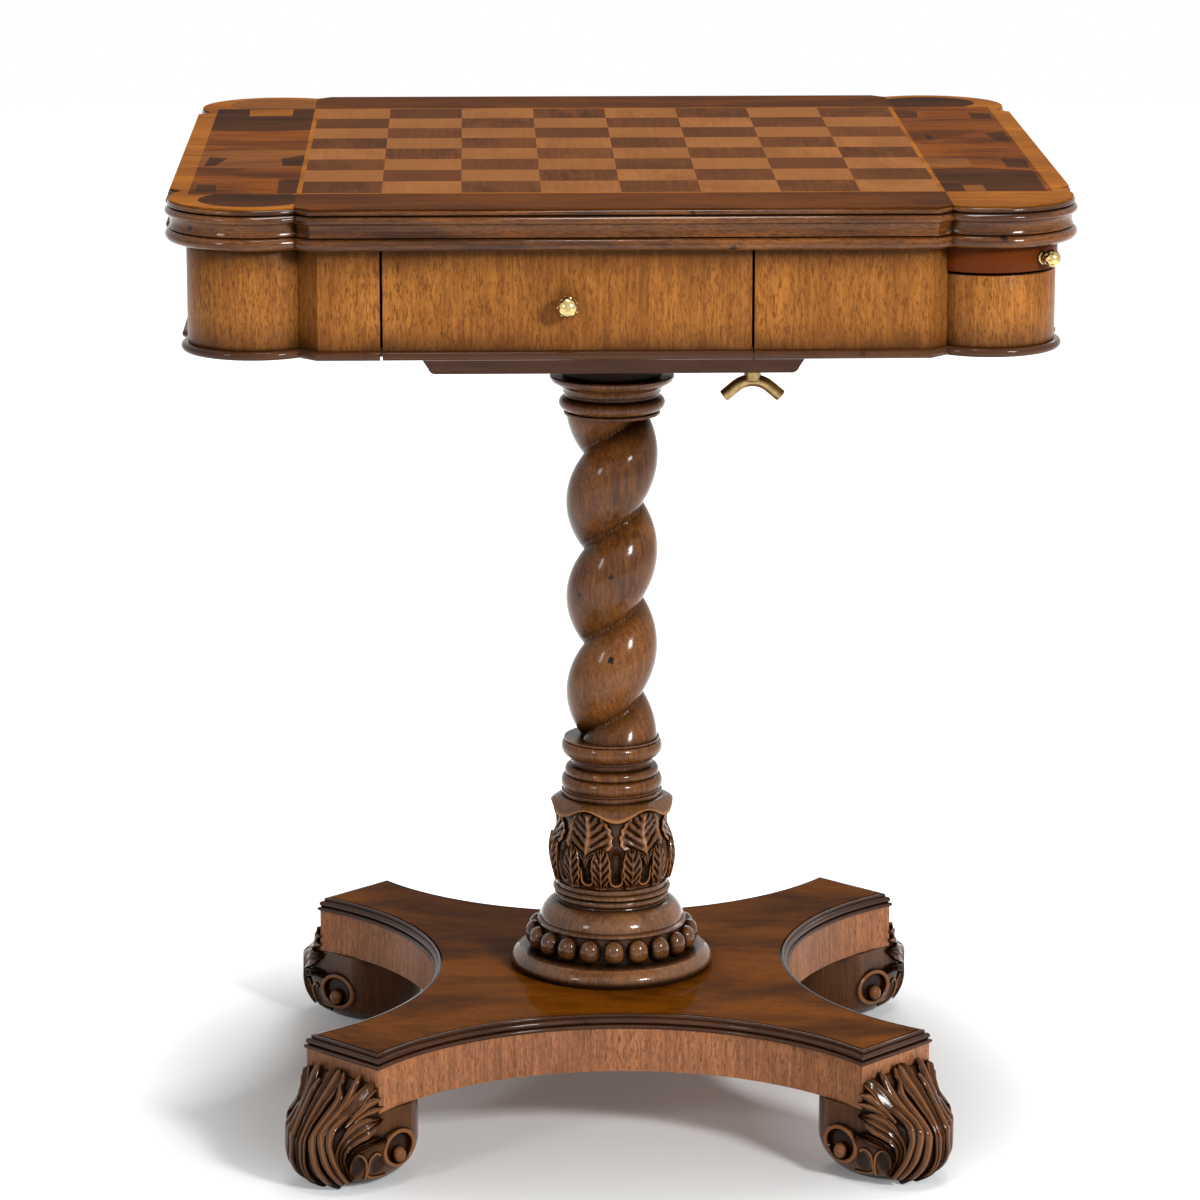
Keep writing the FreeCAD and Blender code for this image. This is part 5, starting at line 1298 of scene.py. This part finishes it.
def build_side_panels():
    """Patchwork veneers at both sides of the board; every patch lies in a bed cut for it."""
    left = (
        (DARK_INLAY, ((-PANEL_EDGE, 104.0), (-270.0, 98.0), (-BOARD_EDGE, 106.0), (-BOARD_EDGE, 231.0),
                      (-PANEL_EDGE, 231.0))),
        (WARM_INLAY, ((-PANEL_EDGE, -96.0), (-268.0, -104.0), (-BOARD_EDGE, -96.0), (-BOARD_EDGE, -8.0),
                      (-262.0, 4.0), (-PANEL_EDGE, -12.0))),
        (DARK_INLAY, ((-305.0, -91.0), (-297.0, -88.0), (-289.0, -50.0), (-303.0, -41.0))),
        (DARK_INLAY, ((-247.0, -91.0), (-BOARD_EDGE, -93.0), (-BOARD_EDGE, -33.0), (-249.0, -52.0))),
        (DARK_INLAY, ((-305.0, -219.0), (-290.0, -219.0), (-291.0, -186.0), (-305.0, -184.0))),
        (DARK_INLAY, ((-246.0, -229.0), (-BOARD_EDGE, -229.0), (-BOARD_EDGE, -158.0), (-247.0, -161.0))),
        (LIGHT_BAND, ((-283.0, 188.0), (-249.0, 190.0), (-249.0, 229.0), (-284.0, 227.0))),
    )
    right = (
        (DARK_INLAY, ((BOARD_EDGE, 164.0), (247.0, 164.0), (250.0, 203.0), (BOARD_EDGE, 211.0))),
        (DARK_INLAY, ((290.0, 158.0), (306.0, 157.0), (307.0, 191.0), (290.0, 195.0))),
        (DARK_INLAY, ((296.0, 36.0), (306.0, 24.0), (307.0, 84.0), (291.0, 72.0))),
        (DARK_INLAY, ((243.0, 37.0), (248.0, 37.0), (249.0, 65.0), (244.0, 69.0))),
        (WARM_INLAY, ((BOARD_EDGE, -106.0), (264.0, -103.0), (264.0, -63.0), (BOARD_EDGE, -59.0))),
        (DARK_INLAY, ((289.0, -112.0), (306.0, -114.0), (307.0, -68.0), (289.0, -65.0))),
        (DARK_INLAY, ((BOARD_EDGE, -231.0), (305.0, -231.0), (306.0, -127.0), (262.0, -112.0),
                      (BOARD_EDGE, -119.0))),
        (WARM_INLAY, ((247.0, -229.0), (262.0, -229.0), (262.0, -200.0), (247.0, -200.0))),
    )
    patches = {}
    fields = (("left", -PANEL_EDGE, -BOARD_EDGE, left), ("right", BOARD_EDGE, PANEL_EDGE, right))
    for name, low, high, shapes in fields:
        outline = ((low, -BOARD_EDGE), (high, -BOARD_EDGE), (high, BOARD_EDGE), (low, BOARD_EDGE))
        field = inlay("burr_panel_" + name, outline)
        cut = []
        for index, (wood, points) in enumerate(shapes):
            for other in cut:
                carve(other, bed(points))
            carve(field, bed(points))
            patch = inlay("patch_%s_%d" % (name, index), points)
            cut.append(patch)
            patches.setdefault(wood, []).append(patch)
        finish(field, "table", "burr_veneer", BURR, "side_panels", smooth=30)
    for wood, pieces in patches.items():
        piece = join(pieces)
        piece.name = wood.name + "_patches"
        finish(piece, "table", "burr_veneer", wood, smooth=30)


def clipped(points, axis, limit):
    """The part of an outline that lies beyond a limit on one axis."""
    result = []
    for first, second in zip(points, points[1:] + points[:1]):
        if first[axis] >= limit:
            result.append(first)
        if (first[axis] - limit) * (second[axis] - limit) < 0:
            share = (limit - first[axis]) / (second[axis] - first[axis])
            result.append(tuple(a + (b - a) * share for a, b in zip(first, second)))
    return result


def build_corner_panels():
    """Half-round corner veneers, three of them with an oval inlay."""
    whole = [(150.0, 150.0), (150.0, 299.5)] + quarter_outline(6.0) + [(318.0, 150.0)]
    fan = clipped(clipped(whole, 0, BOARD_EDGE), 1, BOARD_EDGE)
    turns = [TAU * step / 64 for step in range(64)]
    ring = [(263.0 + 38.0 * math.cos(angle), 257.0 + 36.0 * math.sin(angle)) for angle in turns]
    oval = clipped(clipped(ring, 0, BOARD_EDGE), 1, BOARD_EDGE)
    corners = ((-1, -1, DARK_INLAY), (1, 1, DARK_INLAY), (-1, 1, WARM_INLAY), (1, -1, None))
    for across, along, wood in corners:
        name = ("back" if along > 0 else "front") + ("_right" if across > 0 else "_left")
        corner = inlay("corner_" + name, [(across * x, along * y) for x, y in fan])
        if wood:
            points = [(across * x, along * y) for x, y in oval]
            carve(corner, bed(points))
            finish(inlay("oval_" + name, points), "table", "burr_veneer", wood, smooth=30)
        finish(corner, "table", "burr_veneer", LIGHT_BAND, "corner_panels", smooth=30)


def dress_nodes():
    dress(CASE_WOOD, "front_panel_left", "front_panel_right", "back_panel_left", "back_panel_right",
          "left_panel", "right_panel")
    dress(INNER_WOOD, "top_board", "bottom_board", "centre_rail", "drawer_runners", "drawer_kickers",
          "tray_cradles", "foot_dowels")
    for side in ("front", "back"):
        dress(INNER_WOOD, *(side + "_drawer_" + part for part in ("sides", "rear", "bottom")))
    dress(BEARER_WOOD, "bearer")
    dress(DARK_SQUARES, "dark_squares")
    dress(LIGHT_SQUARES, "light_squares")
    dress(LIGHT_BAND, "board_stringing", "crossbanding")
    dress(DARK_STRIP, "border_strips")
    dress(STEEL, "bearer_screws", "tie_rod", "tie_nuts", "tie_washers")
    dress(OLD_BRASS, "wing_insert")


# ---------------------------------------------------------------- the studio

def seen_rays(g):
    """1 for what the camera sees straight on, in a reflection or through glass, 0 for the rest."""
    path = g.add("LightPath")
    seen = g.maths("ADD", path.outputs["Is Camera Ray"], path.outputs["Is Glossy Ray"])
    return g.maths("ADD", seen, path.outputs["Is Transmission Ray"], clamp=True)


def build_floor():
    """A pale floor that takes shadows and glows white beyond them."""
    bpy.ops.mesh.primitive_plane_add(size=12, location=(0, 0, 0))
    floor = bpy.context.object
    floor.name = "floor"
    material = bpy.data.materials.new("floor")
    material.use_nodes = True
    g = Graph(material.node_tree)
    material.node_tree.nodes.clear()
    diffuse = g.add("BsdfDiffuse")
    diffuse.inputs["Color"].default_value = rgb(0.89, 0.92, 0.93)
    glow = g.add("Emission")
    glow.inputs["Color"].default_value = rgb(1, 1, 1)
    seen = seen_rays(g)
    span = g.add("VectorMath", operation="LENGTH")
    g.link(g.add("TexCoord").outputs["Object"], span.inputs[0])
    spread = g.span(span.outputs["Value"], 0.24, 0.54, 0.08, 0.98)
    g.link(g.maths("MULTIPLY", seen, spread), glow.inputs["Strength"])
    both = g.add("AddShader")
    output = g.add("OutputMaterial")
    g.link(diffuse.outputs[0], both.inputs[0])
    g.link(glow.outputs[0], both.inputs[1])
    g.link(both.outputs[0], output.inputs[0])
    floor.data.materials.append(material)


def build_world():
    """Dim light from all round, which the camera itself sees as white."""
    world = bpy.data.worlds.new("studio")
    bpy.context.scene.world = world
    world.use_nodes = True
    g = Graph(world.node_tree)
    background = world.node_tree.nodes["Background"]
    background.inputs["Color"].default_value = rgb(1, 1, 1)
    g.link(g.span(seen_rays(g), 0.0, 1.0, 0.12, 1.0), background.inputs["Strength"])


def build_lamps():
    """Four area lamps, as name, place, what they aim at, size and power."""
    for name, place, aim, size, power in (
        ("key", (2.0, -2.6, 1.9), (0, 0, 0.45), (0.6, 0.6), 88),
        ("fill", (-2.4, -2.4, 1.7), (0, 0, 0.45), (0.5, 0.8), 18),
        ("overhead", (0.2, -0.3, 2.8), (0, 0, 0.5), (1.3, 0.5), 44),
        ("back", (0.6, 2.9, 2.1), (0, 0, 0.5), (1.6, 0.8), 26),
    ):
        lamp = bpy.data.lights.new(name, "AREA")
        lamp.shape = "RECTANGLE"
        lamp.size, lamp.size_y = size
        lamp.energy = power
        holder = bpy.data.objects.new(name, lamp)
        bpy.context.scene.collection.objects.link(holder)
        holder.location = place
        holder.rotation_euler = (Vector(aim) - Vector(place)).to_track_quat("-Z", "Y").to_euler()


def build_camera():
    scene = bpy.context.scene
    scene.view_settings.view_transform = "Standard"
    lens = bpy.data.cameras.new("camera")
    lens.lens = 149.4
    lens.sensor_width = 36
    camera = bpy.data.objects.new("camera", lens)
    camera.location = (-0.109, -3.762, 1.275)
    camera.rotation_euler = (math.radians(90 - 13.13), 0, math.radians(-1.52))
    scene.collection.objects.link(camera)
    scene.camera = camera


dress_nodes()
build_moulding()
build_turrets()
build_base_bead()
build_drawers()
build_trays()
build_knobs()
build_capital()
build_twist()
build_collar()
build_vase()
build_skirt()
build_beaded_foot()
build_wing_bolt()
build_platform()
build_feet()
build_side_panels()
build_corner_panels()
build_floor()
build_world()
build_lamps()
build_camera()
